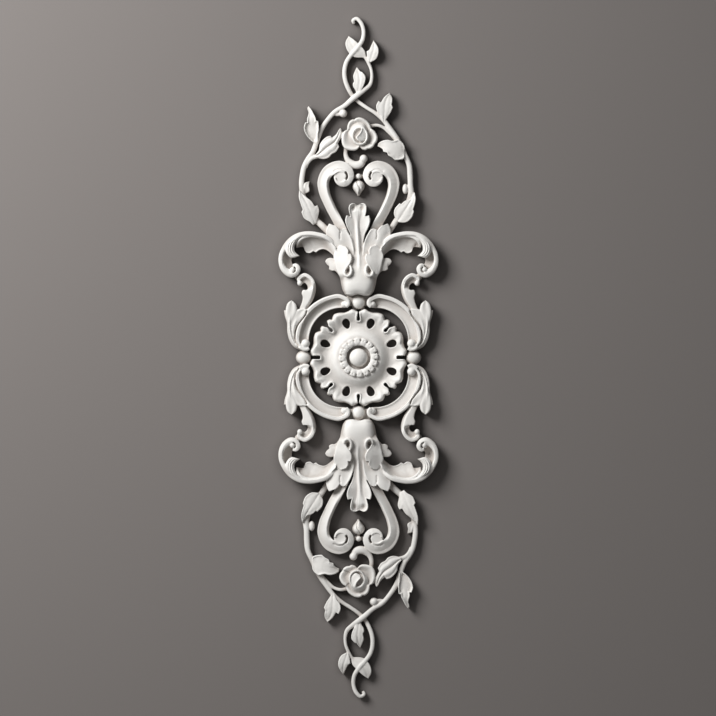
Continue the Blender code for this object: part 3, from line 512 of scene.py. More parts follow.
# Outline of the rose round its centre, in degrees and millimetres, and the angles where its petals part
ROSE_CENTRE = (1.3, 244.9)
ROSE_OUTLINE = (
    (-10, 20.3), (8, 17.6), (17, 16.0), (23, 14.6), (29, 14.4), (40, 15.4), (52, 16.4), (68, 17.4),
    (82, 18.4), (93, 18.8), (103, 18.4), (109, 17.3), (116, 18.5), (130, 18.2), (141, 17.0),
    (159, 14.7), (170, 18.0), (185, 19.6), (200, 21.2), (211, 22.3), (223, 22.6), (238, 20.6),
    (255, 18.4), (262, 16.5), (270, 13.6), (279, 16.7), (291, 18.7), (298, 18.2), (307, 19.8),
    (318, 20.4), (327, 19.8), (338, 20.5), (350, 20.3),
)
ROSE_PARTS = (-37.0, 25.0, 109.0, 160.0, 270.0, 323.0)
ROSE_HEART = (1.7, 243.0)
ROSE_RING_RADII = (9.5, 10.9)
ROSE_FOLD_LEFT = [
    (3.2, 251.2), (2.0, 247.4), (-0.6, 243.8), (-2.8, 241.6), (-1.9, 239.2), (0.2, 237.4),
    (2.6, 236.4, SHARP),
]
ROSE_FOLD_RIGHT = [
    (5.2, 250.9), (7.3, 248.0), (8.2, 244.6), (7.9, 241.2), (6.6, 238.8), (5.0, 237.3),
    (2.6, 236.4, SHARP),
]

# The left half of the heart: the band's outer and inner rail from the acanthus to the volute
HEART_EYE = (-20.1, 197.5)
HEART_EYE_RADIUS = 6.9
HEART_OUTER_TURN = (
    (168, 22.7), (145, 20.9), (119, 19.3), (91, 18.5), (65, 17.6), (35, 16.5), (5, 15.2), (-25, 13.3),
    (-55, 11.9), (-85, 10.0), (-115, 8.2), (-145, 7.2), (-178, 7.0),
)
HEART_INNER_TURN = (
    (192, 11.6), (170, 9.0), (140, 6.5), (112, 6.3), (85, 6.3), (55, 6.3), (22, 6.3), (-12, 6.0),
    (-50, 5.4), (-85, 5.0), (-115, 4.8), (-145, 4.8), (-178, 4.8),
)
HEART_OUTER = [(-20.0, 133.0), (-27.2, 146.9), (-37.5, 166.7), (-43.6, 181.5), (-45.1, 192.0)]
HEART_INNER = [(-9.0, 133.0), (-15.6, 146.9), (-25.4, 166.7), (-31.2, 181.5), (-32.4, 190.4)]

# The groove that twists down the bud in the heart
DROP_GROOVE = [(-1.6, 193.0), (-0.8, 190.0), (1.4, 187.0), (1.8, 184.0), (0.6, 180.0)]

# The acanthus head, left half, and the trumpet leaf; the bell's rows have a height, half width and crest
BELL_ROWS = (
    (67.8, 12.0, 17.5), (69.4, 15.0, 21.0), (73.0, 17.2, 23.6), (80.0, 18.9, 24.4),
    (88.0, 20.2, 23.4), (97.0, 24.0, 21.5), (108.0, 25.0, 18.0), (122.0, 24.0, 13.0),
)
HEAD_LOBE_OUTER = [
    (-22.0, 91.0), (-26.0, 94.8), (-29.2, 94.8, SHARP), (-32.3, 96.8), (-32.0, 99.8, SHARP),
    (-34.9, 102.2), (-36.6, 105.4, SHARP),
]
HEAD_LOBE_INNER = [
    (-20.0, 106.0), (-23.5, 107.0), (-25.2, 107.0, SHARP), (-28.4, 109.0), (-32.3, 109.2),
    (-35.2, 107.8), (-36.6, 105.4, SHARP),
]
FRONT_LEAF_OUTER = [
    (-17.0, 81.0), (-21.0, 89.0), (-23.8, 95.5), (-25.2, 101.0), (-26.2, 106.0), (-27.4, 110.4),
    (-26.8, 114.0), (-25.2, 117.4), (-23.2, 120.2), (-21.3, 122.3), (-19.5, 123.2, SHARP),
]
FRONT_LEAF_INNER = [
    (-8.5, 82.0), (-12.0, 88.0), (-14.2, 94.5), (-12.0, 98.8), (-9.0, 103.0), (-7.1, 109.0),
    (-8.4, 113.9, SHARP), (-11.8, 112.4, SHARP), (-11.0, 117.0), (-13.6, 121.4, SHARP),
    (-19.5, 123.2, SHARP),
]
EYE_CURL = [
    (-9.6, 101.5, 1.0, 22.5), (-8.2, 97.8, 1.2, 24.5), (-7.9, 94.0, 1.3, 26.0), (-9.4, 90.6, 1.4, 26.5),
    (-12.4, 89.2, 1.4, 26.5), (-15.0, 90.8, 1.3, 26.0), (-15.6, 94.4, 1.0, 24.5),
]
OUTER_LEAF_LEFT = [
    (-20.5, 110.0), (-22.0, 115.0), (-24.6, 120.8), (-28.4, 126.2), (-32.6, 130.8), (-35.2, 134.4),
    (-35.5, 137.0), (-35.4, 139.3), (-35.0, 141.0), (-34.4, 142.8), (-33.6, 144.6, SHARP),
    (-32.2, 147.0, SHARP),
]
OUTER_LEAF_RIGHT = [
    (-4.5, 110.0), (-4.8, 118.0), (-5.9, 124.3), (-7.9, 131.0), (-10.6, 136.0), (-14.0, 140.6),
    (-17.0, 141.4), (-19.9, 137.6, SHARP), (-22.0, 141.0), (-25.2, 144.2), (-28.4, 145.3, SHARP),
    (-32.2, 147.0, SHARP),
]
TRUMPET_LEFT = [
    (-9.0, 90.0), (-8.5, 102.0), (-7.0, 114.0), (-6.9, 124.7), (-9.2, 135.5), (-13.0, 144.0),
    (-14.6, 150.8), (-13.2, 155.9, SHARP), (-8.6, 154.4, SHARP), (-10.2, 159.4), (-10.8, 164.2),
    (-9.4, 167.8), (-6.4, 169.3), (-3.4, 168.4), (-1.0, 167.0),
]
TRUMPET_RIGHT = [
    (9.0, 90.0), (8.0, 102.0), (6.0, 114.0), (5.4, 124.7), (7.2, 135.0), (11.4, 144.0),
    (12.9, 150.4), (11.8, 156.0, SHARP), (7.2, 154.4, SHARP), (8.4, 159.0), (9.0, 163.8),
    (8.2, 167.5), (5.2, 169.3), (1.8, 168.5), (-0.4, 167.0),
]
TRUMPET_RIDGE = [
    (0.9, 88.0), (0.8, 103.0), (0.6, 111.0), (-0.1, 125.0), (-1.0, 143.0), (-1.3, 152.0), (-1.5, 168.0),
]

# Pits have a centre, two radii and a depth; slits have a line, a half width and a depth
PITS = (
    (-11.7, 95.2, 2.5, 3.9, 6.5),
)
SLITS = (
    ([(-27.0, 204.6), (-22.5, 206.6), (-18.0, 206.2), (-14.6, 203.9)], 1.3, 1.2),
    ([(-13.9, 203.0), (-12.7, 200.8), (-12.3, 198.4), (-13.2, 196.0)], 1.6, 9.0),
    ([(-70.4, 99.0), (-69.2, 96.9), (-69.6, 94.6), (-71.4, 93.4)], 0.95, 6.0),
    ([(-56.7, 50.9), (-58.1, 46.8), (-63.0, 40.4), (-67.2, 34.8), (-69.3, 28.4), (-69.7, 22.1),
      (-68.3, 16.4), (-65.5, 12.2)], 1.3, 5.0),
    ([(-19.9, 138.0), (-20.4, 134.0), (-20.0, 130.0)], 1.2, 1.4),
)

# The left arm: its raised rim, the hollow under it and the lobe that curls over
ARM_RIM = [
    (-26.0, 122.5, 1.5, 14.5), (-30.6, 128.2, 2.2, 17.0),
    (-36.6, 132.2, 2.6, ARM_CREST), (-45.0, 134.7, 2.6, ARM_CREST),
    (-55.0, 135.8, 2.7, ARM_CREST), (-64.0, 134.6, 2.7, ARM_CREST), (-71.2, 131.2, 2.8, ARM_CREST),
    (-77.5, 125.6, 2.8, 17.0), (-82.0, 119.0, 2.6, 16.5), (-84.9, 111.8, 2.5, 16.0),
    (-85.2, 105.0, 2.6, 16.0), (-83.2, 99.0, 3.2, 16.0), (-79.0, 94.2, 3.9, 16.0),
    (-73.5, 91.6, 4.1, 16.5), (-68.2, 93.6, 3.4, 16.5), (-66.2, 97.8, 2.6, 16.5),
    (-68.6, 101.0, 2.2, 16.0), (-72.0, 100.6, 1.8, 15.0),
]
ARM_STRAND = [
    (-37.0, 129.2, 0.9, 12.0), (-44.6, 132.2, 1.2, 15.0), (-53.8, 133.0, 1.3, 16.0),
    (-60.0, 131.6, 1.4, 16.5), (-64.9, 128.2, 1.5, 16.5), (-67.2, 124.6, 1.5, 15.0),
    (-67.4, 120.6, 1.2, 12.0),
]
ARM_HOLLOW_UPPER = [
    (-25.0, 121.0), (-33.0, 128.5), (-42.0, 132.5), (-48.0, 134.0), (-53.0, 134.5), (-57.0, 134.0),
    (-60.0, 132.5), (-63.0, 130.0), (-66.0, 127.0), (-67.0, 124.0),
]
ARM_HOLLOW_LOWER = [
    (-22.0, 104.0), (-29.6, 113.8), (-38.5, 118.9), (-43.6, 117.6), (-46.8, 115.2, SHARP),
    (-49.6, 116.8, SHARP), (-53.0, 114.5), (-57.6, 115.5), (-59.6, 121.5, SHARP), (-66.0, 121.0),
]
CURL_HOLLOW_UPPER = [(-82.0, 121.0), (-84.0, 112.0), (-83.6, 104.0), (-80.0, 98.5), (-75.5, 95.5)]
CURL_HOLLOW_LOWER = [(-75.0, 120.0), (-73.0, 110.5), (-73.3, 105.3), (-71.9, 101.5), (-70.5, 98.0)]
ARM_LOBE_UPPER = [
    (-60.5, 133.5), (-66.1, 129.8), (-69.5, 124.6), (-70.5, 120.0), (-70.1, 116.9), (-68.2, 114.4),
    (-64.4, 111.4, SHARP),
]
ARM_LOBE_LOWER = [
    (-70.0, 132.5), (-75.0, 128.5), (-78.6, 125.0), (-80.2, 119.6), (-79.1, 114.6), (-74.4, 109.6),
    (-64.4, 111.4, SHARP),
]

# The small S-scroll and the side leaf on the left of the ring
S_SCROLL_LEFT = [
    (-66.5, 49.0), (-64.1, 55.3), (-61.7, 62.0), (-61.2, 66.5), (-62.4, 70.6), (-60.6, 74.2),
    (-57.3, 73.1, SHARP), (-55.8, 75.8), (-56.4, 79.3), (-59.0, 81.6), (-61.4, 81.0), (-62.8, 78.9),
]
S_SCROLL_RIGHT = [
    (-57.0, 49.0), (-54.7, 55.3), (-50.6, 62.0), (-48.4, 67.0), (-47.2, 71.0), (-46.6, 74.5),
    (-46.5, 77.0), (-47.2, 80.9), (-50.6, 87.7), (-59.4, 92.6), (-67.5, 86.5), (-65.5, 79.8),
]

# Webs have a left, right, lower and upper side and a height
WEBS = (
    (-13.0, 13.0, 56.5, 71.5, 4.5),
    (2.2, 6.4, 50.5, 58.0, 3.5),
    (-6.4, -2.2, 50.5, 58.0, 3.5),
    (-64.5, -55.5, -12.0, 12.0, 4.5),
    (-58.0, -50.5, 2.2, 5.4, 3.5),
    (-58.0, -50.5, -5.4, -2.2, 3.5),
    (-8.0, 8.0, 197.0, 201.0, 2.6),
    (-1.6, 1.6, 178.0, 198.5, 3.0),
)

# Left, right and front lobe of the side leaf: left rail, right rail and crest
SIDE_LEAF = (
    ([(-58.0, 8.0), (-66.5, 9.0), (-71.5, 12.0), (-75.6, 18.2), (-78.2, 28.1), (-78.6, 38.0),
      (-80.8, 45.0), (-82.0, 53.0, SHARP)],
     [(-58.0, 11.0), (-65.0, 13.0), (-70.0, 18.0), (-73.5, 24.0), (-75.4, 32.0), (-76.2, 40.0),
      (-78.0, 48.5), (-82.0, 53.0, SHARP)],
     12.5),
    ([(-59.0, 10.5), (-66.0, 12.0), (-70.5, 18.0), (-73.4, 27.0), (-74.2, 36.0), (-72.4, 44.0),
      (-67.0, 52.6), (-56.4, 52.8, SHARP)],
     [(-58.0, 12.0), (-63.0, 13.5), (-66.6, 18.5), (-69.2, 25.0), (-67.4, 33.5), (-62.4, 41.5),
      (-57.6, 48.4), (-56.4, 52.8, SHARP)],
     14.0),
    ([(-60.0, 9.5), (-68.5, 11.5), (-73.0, 18.5), (-75.6, 27.0), (-77.2, 37.0), (-79.4, 46.0),
      (-79.8, 53.5), (-77.6, 59.8), (-73.5, 62.8, SHARP)],
     [(-60.0, 11.0), (-67.0, 13.5), (-71.4, 20.0), (-73.8, 28.0), (-74.2, 37.0), (-70.6, 45.0),
      (-67.4, 52.0), (-68.8, 58.8), (-73.5, 62.8, SHARP)],
     14.5),
)


def ring_quarter():
    """Upper-left C-scroll: raised rim, a cove inside it, and a ball at each end."""
    rim = RING_START + arc(-RING_SHIFT, RING_SHIFT, RING_OUTSIDE - RING_RIM, 180, 93, 9) + RING_END
    path = [(x, z, RING_RIM, RING_CREST) for x, z in rim]
    outer = arc(-RING_SHIFT, RING_SHIFT, RING_OUTSIDE - 2 * RING_RIM + 1.0, 186, 88, 9)
    inner = arc(-RING_SHIFT, RING_SHIFT, RING_INSIDE, 184, 86, 9)

    def hollow(p):
        return cove(p, RING_CREST - 4.0, 8.2, lip=0.5) + 1.2 * ramp(p.right, 3.5, 0.5)

    def line(p):
        return -0.55 * ridge(p.right - 1.5, 0.8)

    return [
        sweep(path, line, flatness=0.55),
        relief(outer, inner, hollow, edge=0.6),
        dome(-58.1, 15.4, 4.7, 4.7, 16.5, wall=0.55),
        dome(-15.4, 58.4, 3.9, 3.9, 14.0, wall=0.55),
    ]


def side_leaf():
    """Fluted leaf that grows beside the C-scroll and opens in three lobes."""
    def height(crest):
        def lobe(p):
            flutes = 0.35 * np.cos(2 * math.pi * p.t) * ramp(p.s, 0.05, 0.3) * ramp(p.s, 0.95, 0.6)
            round_top = 1.4 * np.sqrt(np.clip(1 - p.t ** 2, 0.0, 1.0))
            round_top = round_top - ridge(p.t, 0.6) * ramp(p.s, 0.6, 0.8)
            return crest * (0.72 + 0.24 * ramp(p.s, 0.0, 0.8)) + round_top + flutes
        return lobe

    return [relief(left, right, height(crest)) for left, right, crest in SIDE_LEAF]


def s_scroll():
    """Small scroll that stands on the side leaf and hooks over at its top."""
    def height(p):
        hooked = ramp(p.s, 0.5, 0.62)
        body = 10.5 + 4.0 * np.sin(math.pi * (0.15 + 0.7 * p.s))
        bevel = -4.6 * (1 - np.clip(p.right / 3.4, 0.0, 1.0)) * (1 - hooked)
        sunk = -4.5 * ramp(p.right, 3.6, 5.4) * hooked
        strands = 0.4 * np.cos(2 * math.pi * p.right / 1.7) * ramp(p.s, 0.42, 0.55)
        return body + bevel + sunk + strands + 0.8 * p.t * (1 - hooked)

    return [
        relief(S_SCROLL_LEFT, S_SCROLL_RIGHT, height),
        dome(-64.4, 81.6, 2.9, 3.1, 14.5, wall=0.6),
        dome(-66.0, 88.3, 4.0, 4.0, 4.5),
    ]


def arm():
    """Acanthus arm that sweeps out, curls down and ends in a small volute."""
    def rim(p):
        return 0.25 * np.cos(2 * math.pi * p.right / 1.9) - 0.5 * ridge(p.right - 1.9, 0.8)

    def hollow(p):
        start = ramp(p.s, 0.4, 0.0)
        return cove(p, 14.0, 7.0 + 4.0 * start, lip=1.0) + 4.0 * start

    def curl(p):
        return cove(p, 12.0, 4.5)

    def lobe(p):
        strands = 0.9 * np.cos(2 * math.pi * 2.0 * p.t) * ramp(p.s, 0.05, 0.3) * ramp(p.s, 1.0, 0.75)
        return 16.0 + 3.0 * np.sin(math.pi * np.minimum(1.0, 0.25 + 0.6 * p.s)) - 1.8 * p.t ** 2 + strands

    return [
        sweep(ARM_RIM, rim, flatness=0.7),
        sweep(ARM_STRAND),
        relief(ARM_HOLLOW_UPPER, ARM_HOLLOW_LOWER, hollow, edge=0.6),
        relief(CURL_HOLLOW_UPPER, CURL_HOLLOW_LOWER, curl, edge=0.6),
        relief(ARM_LOBE_UPPER, ARM_LOBE_LOWER, lobe),
        dome(-72.2, 96.2, 3.2, 3.2, 17.0, wall=0.6),
    ]


def head_sides():
    """Left half of the leaves that open out of the bell."""
    def lobe(p):
        return 18.0 - 4.5 * p.s - 1.2 * p.t ** 2 + 0.5 * ridge(p.edge - 0.8, 1.0)

    def front(p):
        swell = 23.4 - 4.0 * ramp(p.z, 102.0, 124.0) - 6.0 * ramp(p.z, 92.0, 81.0)
        return swell - 4.3 * ramp(-p.x, 9.0, 27.0) + 0.5 * ridge(p.right - 0.8, 1.2)

    def outer(p):
        upper = ramp(p.z, 118.0, 144.0)
        lobes = 0.9 * np.cos((p.x + 24.0 + 0.25 * (p.z - 130.0)) / 3.6)
        lean = 0.13 * (p.x + 20.0)
        rim = 0.4 * ridge(p.edge - 0.8, 1.0)
        return 14.6 + 2.6 * upper + lean + lobes * ramp(p.z, 116.0, 126.0) + rim

    return [
        relief(HEAD_LOBE_OUTER, HEAD_LOBE_INNER, lobe),
        relief(FRONT_LEAF_OUTER, FRONT_LEAF_INNER, front, edge=0.7),
        sweep(EYE_CURL),
        relief(OUTER_LEAF_LEFT, OUTER_LEAF_RIGHT, outer, edge=0.7),
    ]


def bell():
    """Swelling base of the head: two soft bulges side by side over the bead."""
    rows = np.array(BELL_ROWS)
    z = np.linspace(rows[0, 0], rows[-1, 0], int((rows[-1, 0] - rows[0, 0]) / GRAIN))
    half = np.interp(z, rows[:, 0], rows[:, 1])[:, None]
    crest = np.interp(z, rows[:, 0], rows[:, 2])[:, None]
    smooth = np.ones(9) / 9
    half[4:-4, 0] = np.convolve(half[:, 0], smooth, "valid")
    crest[4:-4, 0] = np.convolve(crest[:, 0], smooth, "valid")
    t = np.linspace(-1.0, 1.0, 2 * int(25.0 / GRAIN))[None, :]
    z = z[:, None]
    crease = np.maximum(0.0, 1 - (z - 67.5) / 16.0)
    midrib = 1.4 * ridge(half * t - 0.8, 2.6) * ramp(z, 92.0, 104.0)
    height = crest * (1 - 0.12 * t ** 2 - 0.34 * t ** 6) - 0.2 * crease * ridge(t + 0.05, 0.55) + midrib
    lift = 1.5 * ridge(t + 0.04, 0.6) * crease
    return [slab(half * t, z + lift, height - rounding((1 - np.abs(t)) * half, 1.5))]


def trumpet():
    """Central leaf with a strong midrib that flares into a mouth of two lobes."""
    def height(p):
        rib_x, rib_z = zip(*TRUMPET_RIDGE)
        off = p.x - np.interp(p.z, rib_z, rib_x)
        upper = ramp(p.z, 126.0, 146.0)
        below_mouth = ramp(p.z, 167.5, 160.0)
        sides = 14.5 + 3.4 * upper * np.minimum(1.2, np.abs(off) / 10.0)
        slim = 1.0 + 1.5 * ramp(p.z, 146.0, 164.0)
        rib = (3.4 - 0.8 * upper) * np.where(off < 0, ridge(off, 3.6 * slim), ridge(off, 2.6 * slim))
        valley = -0.6 * ridge(off - 0.9 * slim, 0.6) * upper
        mouth = ramp(p.z, 154.0, 162.0)
        lip = (0.6 + 1.5 * mouth) * ridge(p.edge - 0.9, 1.2)
        scoops = -2.4 * ridge(np.hypot((np.abs(p.x + 0.7) - 4.9) / 3.4, (p.z - 163.6) / 4.4), 1.0)
        return sides + rib * below_mouth + valley + lip + scoops

    spine = [(0.0, 90.0), (-0.3, 124.7), (-0.8, 144.0), (-0.6, 169.0)]
    return [relief(TRUMPET_LEFT, TRUMPET_RIGHT, height, spine=spine, blunt=True)]


def heart():
    """Left scroll of the heart: a band that slopes to its outer edge and rolls up to a flat disc."""
    outer = HEART_OUTER + [around(*HEART_EYE, r, a) for a, r in HEART_OUTER_TURN]
    inner = HEART_INNER + [around(*HEART_EYE, r, a) for a, r in HEART_INNER_TURN]

    def height(p):
        slope = 0.55 * np.minimum(p.right, 10.0) * (1 - 0.5 * ramp(p.s, 0.55, 0.9))
        bevel = -5.0 * (1 - np.clip(p.right / 2.8, 0.0, 1.0)) * ramp(p.s, 0.62, 0.5) * ramp(p.s, 0.1, 0.3)
        return HEART_CREST - slope + bevel

    def dish(f, a):
        return -0.9 * (1 - f ** 2) + 0.6 * f * np.cos(a) + 0.3 * ridge(f - 0.9, 0.14)

    return [
        relief(outer, inner, height, edge=0.4),
        dome(*HEART_EYE, HEART_EYE_RADIUS, HEART_EYE_RADIUS, 14.2, wall=0.88, carve=dish),
    ]


def rose():
    """Open rose: broad overlapping petals, and a heart of an oval wall round a folded petal."""
    angles, radii = zip(*ROSE_OUTLINE)

    def radius(a):
        return np.interp((np.degrees(a) + 10.0) % 360.0 - 10.0, angles, radii)

    def petals(f, a):
        swirl = (np.degrees(a) - ROSE_PARTS[0] + 26.0 * (1 - f)) % 360.0 + ROSE_PARTS[0]
        part = np.searchsorted(ROSE_PARTS[1:], swirl)
        starts, ends = np.array(ROSE_PARTS[:-1]), np.array(ROSE_PARTS[1:])
        share = (swirl - starts[part]) / (ends[part] - starts[part])
        overlap = 1.4 * share * ramp(f, 0.3, 0.6)
        edge = (1 - f) * radius(a)
        return 12.4 - 2.4 * ridge(f - 0.62, 0.32) + overlap - rounding(edge, 2.2)

    def broader(a):
        return 0.35 * ramp(np.cos(a - math.radians(125.0)), 0.0, 0.8)

    def oval(a):
        return ellipse(*ROSE_RING_RADII, a) * (1 + broader(a))

    def wall(f, a):
        out = f * (1 + broader(a))
        crest = 15.8 + 1.0 * np.cos(a - math.radians(10.0))
        floor, foot = 11.0, 11.0 + 3.0 * broader(a)
        fall = (crest - foot) * ramp(out, 0.84, 1.03 + broader(a))
        return floor + (crest - floor) * ramp(out, 0.6, 0.84) - fall

    def fold(p):
        share = p.left / np.maximum(p.left + p.right, 0.1)
        return 17.8 - 2.6 * share + 0.6 * ridge(p.left - 1.0, 1.5)

    return [
        mound(*ROSE_CENTRE, radius, petals, 200, 40),
        mound(*ROSE_HEART, oval, wall, 120, 26),
        relief(ROSE_FOLD_LEFT, ROSE_FOLD_RIGHT, fold),
    ]


def drop():
    """Bud in the heart: an onion that ends in a point below, with one groove twisting down it."""
    middle = 188.2

    def radius(a):
        stops = (-90, -78, -66, -50, -30, 0, 30, 60, 90, 120, 150, 180, 210, 230, 246, 258, 270)
        radii = (11.2, 9.0, 7.6, 6.9, 6.8, 6.8, 6.6, 6.4, 6.2, 6.4, 6.6, 6.8, 6.8, 6.9, 7.6, 9.0, 11.2)
        degrees = (np.degrees(a) + 90.0) % 360.0 - 90.0
        return np.interp(degrees, stops, radii)

    def height(f, a):
        r = f * radius(a)
        groove = distance_to(r * np.cos(a), middle + r * np.sin(a), DROP_GROOVE)
        return 5.5 + 7.5 * np.sqrt(np.maximum(0.0, 1 - f * f)) - 2.6 * ridge(groove, 1.3)

    return mound(0.0, middle, radius, height, 90, 16)


def web(left, right, lower, upper, top):
    """Low bridge at the back."""
    def height(p):
        return top

    return relief([(left, lower), (left, upper)], [(right, lower), (right, upper)], height)


def upper_half():
    """Every form of the upper half, and the webs that join those whose fronts stand apart."""
    paired = ring_quarter() + side_leaf() + s_scroll() + arm() + head_sides() + heart()
    forms = paired + [mirrored(form) for form in paired]
    forms += bell() + trumpet() + rose()
    for path in (HOOKED_TENDRIL, LEAFY_TENDRIL, ROSE_STEM, LEAF_BRANCH, BUD_STALK, ROSE_HOOK):
        forms.append(sweep(path, flatness=0.6))
    forms += [leaf(*numbers) for numbers in LEAVES]
    forms += [
        dome(-16.9, 268.3, 4.6, 4.6, 10.0),
        dome(51.4, 185.2, 3.2, 5.7, 9.0),
        dome(5.6, 218.5, 4.4, 4.4, 12.0),
        dome(0.0, 199.1, 3.1, 3.1, 10.0, wall=0.6),
        drop(),
        dome(0.0, 60.9, 7.7, 7.9, 14.0),
        dome(-60.6, 0.0, 8.3, 7.5, 14.0),
    ]
    return forms + [web(*numbers) for numbers in WEBS]


def rosette_radius(angle):
    """Outline of one eighth, from a straight slot to a slanted one, repeated and mirrored."""
    step = math.pi / 4
    part = np.floor(angle / step).astype(int) % 2
    a = np.degrees(angle % step)
    a = np.where(part == 1, 45.0 - a, a)
    stops = (0.0, 3.4, 5.2, 8.0, 12.5, 17.5, 24.4, 29.5, 32.6, 35.0, 37.4, 40.5, 42.7, 45.0)
    radii = (50.5, 51.5, 52.9, 53.9, 52.0, 51.6, 53.9, 54.6, 52.9, 50.6, 52.8, 53.2, 51.0, 48.5)
    return np.interp(a, stops, radii)


def distance_to(x, z, line):
    """Distance of every point to a line of points."""
    best = np.full(x.shape, FAR)
    for (x0, z0), (x1, z1) in zip(line[:-1], line[1:]):
        dx, dz = x1 - x0, z1 - z0
        u = np.clip(((x - x0) * dx + (z - z0) * dz) / (dx * dx + dz * dz + 1e-9), 0.0, 1.0)
        best = np.minimum(best, np.hypot(x - x0 - u * dx, z - z0 - u * dz))
    return best


def hole_angle(k):
    """Angle of a hole. The holes beside the upright slots stand nearer to them than the others do."""
    return 2 * math.pi * (k + 0.5) / PETALS + math.radians(HOLE_SHIFTS[k % 4])


def rosette():
    """Pierced rosette: eight scalloped, cupped petals round a crown of small ones and a button."""
    turn = np.linspace(0.0, 2 * math.pi, 361)
    reach = rosette_radius(turn)
    outline = np.stack([reach * np.cos(turn), reach * np.sin(turn)], axis=-1)

    def height(f, a):
        r = f * rosette_radius(a)
        x, z = r * np.cos(a), r * np.sin(a)
        edge = distance_to(x, z, outline)
        slit = np.full(edge.shape, FAR)
        hole = np.full(edge.shape, FAR)
        for k in range(PETALS):
            slot = SLOTS[k % 4]
            radial, across = seen_along(x, z, 2 * math.pi * k / PETALS)
            half = np.interp(radial, *zip(*slot))
            before = np.maximum(slot[0][0] - radial, 0.0)
            slit = np.minimum(slit, np.hypot(np.maximum(np.abs(across) - half, 0.0), before))
            radial, across = seen_along(x, z, hole_angle(k))
            off = np.hypot((radial - HOLE_RING) / HOLE_ALONG, across / HOLE_ACROSS) - 1
            hole = np.minimum(hole, off * HOLE_ACROSS)
        dome_top = 15.0 - 6.5 * ramp(r, 23.0, 35.0) - 10.0 * ramp(r, 14.5, 13.8)
        level = np.degrees(np.arctan2(np.abs(z), np.abs(x)))
        crest = 1.7 + 2.6 * ridge(level - 18.0, 9.0)
        cupped = 4.8 * np.clip(1 - (edge - crest) / 11.0, 0.0, 1.0) * ramp(r, 33.0, 39.0)
        folds = 0.7 * (rosette_radius(a) - 51.5) * ramp(r, 40.0, 50.0) * ramp(edge, 1.0, 4.0)
        bevel = -3.6 * (1 - np.clip(edge / crest, 0.0, 1.0)) ** 1.3
        lip = 2.0 * ridge(slit - 0.8, 1.5) * ramp(edge, 0.0, 4.0)
        rounded = rounding(np.minimum(edge, slit), 0.6)
        return dome_top + cupped + folds + bevel + lip + 0.5 * ridge(hole - 0.7, 0.9) - rounded

    def crown_radius(a):
        scallop = np.sqrt(np.abs(np.sin(CROWN_PETALS * (a - CROWN_TURN) / 2)))
        return CROWN_OUTSIDE * (0.93 + 0.07 * scallop)

    def crown(f, a):
        r = f * crown_radius(a)
        part = ((a - CROWN_TURN) * CROWN_PETALS / (2 * math.pi) + 0.5) % 1.0 - 0.5
        petal_width = 2 * math.pi * r / CROWN_PETALS
        across = part * petal_width
        bulge = np.sqrt(np.clip(1 - (1 - 2 * np.abs(part)) ** 2, 0.0, 1.0))
        round_top = 1.1 * bulge * ramp(r, 12.6, 15.5)
        arch = 0.8 * np.sin(math.pi * np.clip((r - CROWN_INSIDE) / 9.5, 0.0, 1.0))
        pit = 7.0 * ridge(np.hypot((r - 19.4) / 2.2, across / 1.0), 1.0)
        dimple = 0.9 * ridge(np.hypot(r - 18.6, petal_width / 2 - np.abs(across)), 1.2)
        rounded = rounding(np.maximum(crown_radius(a) - r, 0.0), 0.6)
        return np.where(r > CROWN_INSIDE, 16.6 + round_top + arch - pit - dimple - rounded, 9.0)

    body = mound(0.0, 0.0, rosette_radius, height, 480, 90)
    small = mound(0.0, 0.0, crown_radius, crown, 360, 60)
    return body, [small, dome(0.0, 0.0, BUTTON_RADIUS, BUTTON_RADIUS, 20.5, wall=0.62)]


def directions(a):
    """Unit directions along an angle and across it."""
    return np.array((math.cos(a), math.sin(a))), np.array((-math.sin(a), math.cos(a)))


def piercings():
    """Cutters for the eight holes and the eight slots."""
    cutters = []
    for k in range(PETALS):
        radial, across = directions(hole_angle(k))
        ring = []
        for i in range(HOLE_CORNERS):
            b = 2 * math.pi * i / HOLE_CORNERS
            half = HOLE_ACROSS * (1 + HOLE_TAPER * math.cos(b))
            ring.append(radial * (HOLE_RING + HOLE_ALONG * math.cos(b)) + across * half * math.sin(b))
        cutters.append(prism(ring))
        radial, across = directions(2 * math.pi * k / PETALS)
        slot = SLOTS[k % 4]
        ring = [radial * at + across * half for at, half in slot[::-1]]
        cutters.append(prism(ring + [radial * at - across * half for at, half in slot]))
    return cutters


def prism(ring):
    """Cutter through the whole depth on a closed outline: points and polygons."""
    count = len(ring)
    points = [(x, z, h) for h in CUTTER_ENDS for x, z in ring]
    faces = [list(range(count)), list(range(count, 2 * count))[::-1]]
    faces += [[k, count + k, count + (k + 1) % count, (k + 1) % count] for k in range(count)]
    return np.array(points), faces


def place(points):
    """Carving coordinates as places in the frame, in metres."""
    return np.stack([points[:, 0], -points[:, 2], points[:, 1]], axis=-1) * MM


def in_scene(name, data):
    """New object of a mesh, lamp or camera, linked into the scene."""
    made = bpy.data.objects.new(name, data)
    bpy.context.scene.collection.objects.link(made)
    return made


def to_object(points, faces, name):
    mesh = bpy.data.meshes.new(name)
    mesh.from_pydata(place(np.asarray(points)).tolist(), [], [list(map(int, face)) for face in faces])
    mesh.update()
    return in_scene(name, mesh)


def evaluated(piece):
    """The piece's mesh with its modifiers applied, kept on the piece."""
    bpy.context.view_layer.update()
    result = bpy.data.meshes.new_from_object(piece.evaluated_get(bpy.context.evaluated_depsgraph_get()))
    old = piece.data
    piece.modifiers.clear()
    piece.data = result
    bpy.data.meshes.remove(old)
    return piece


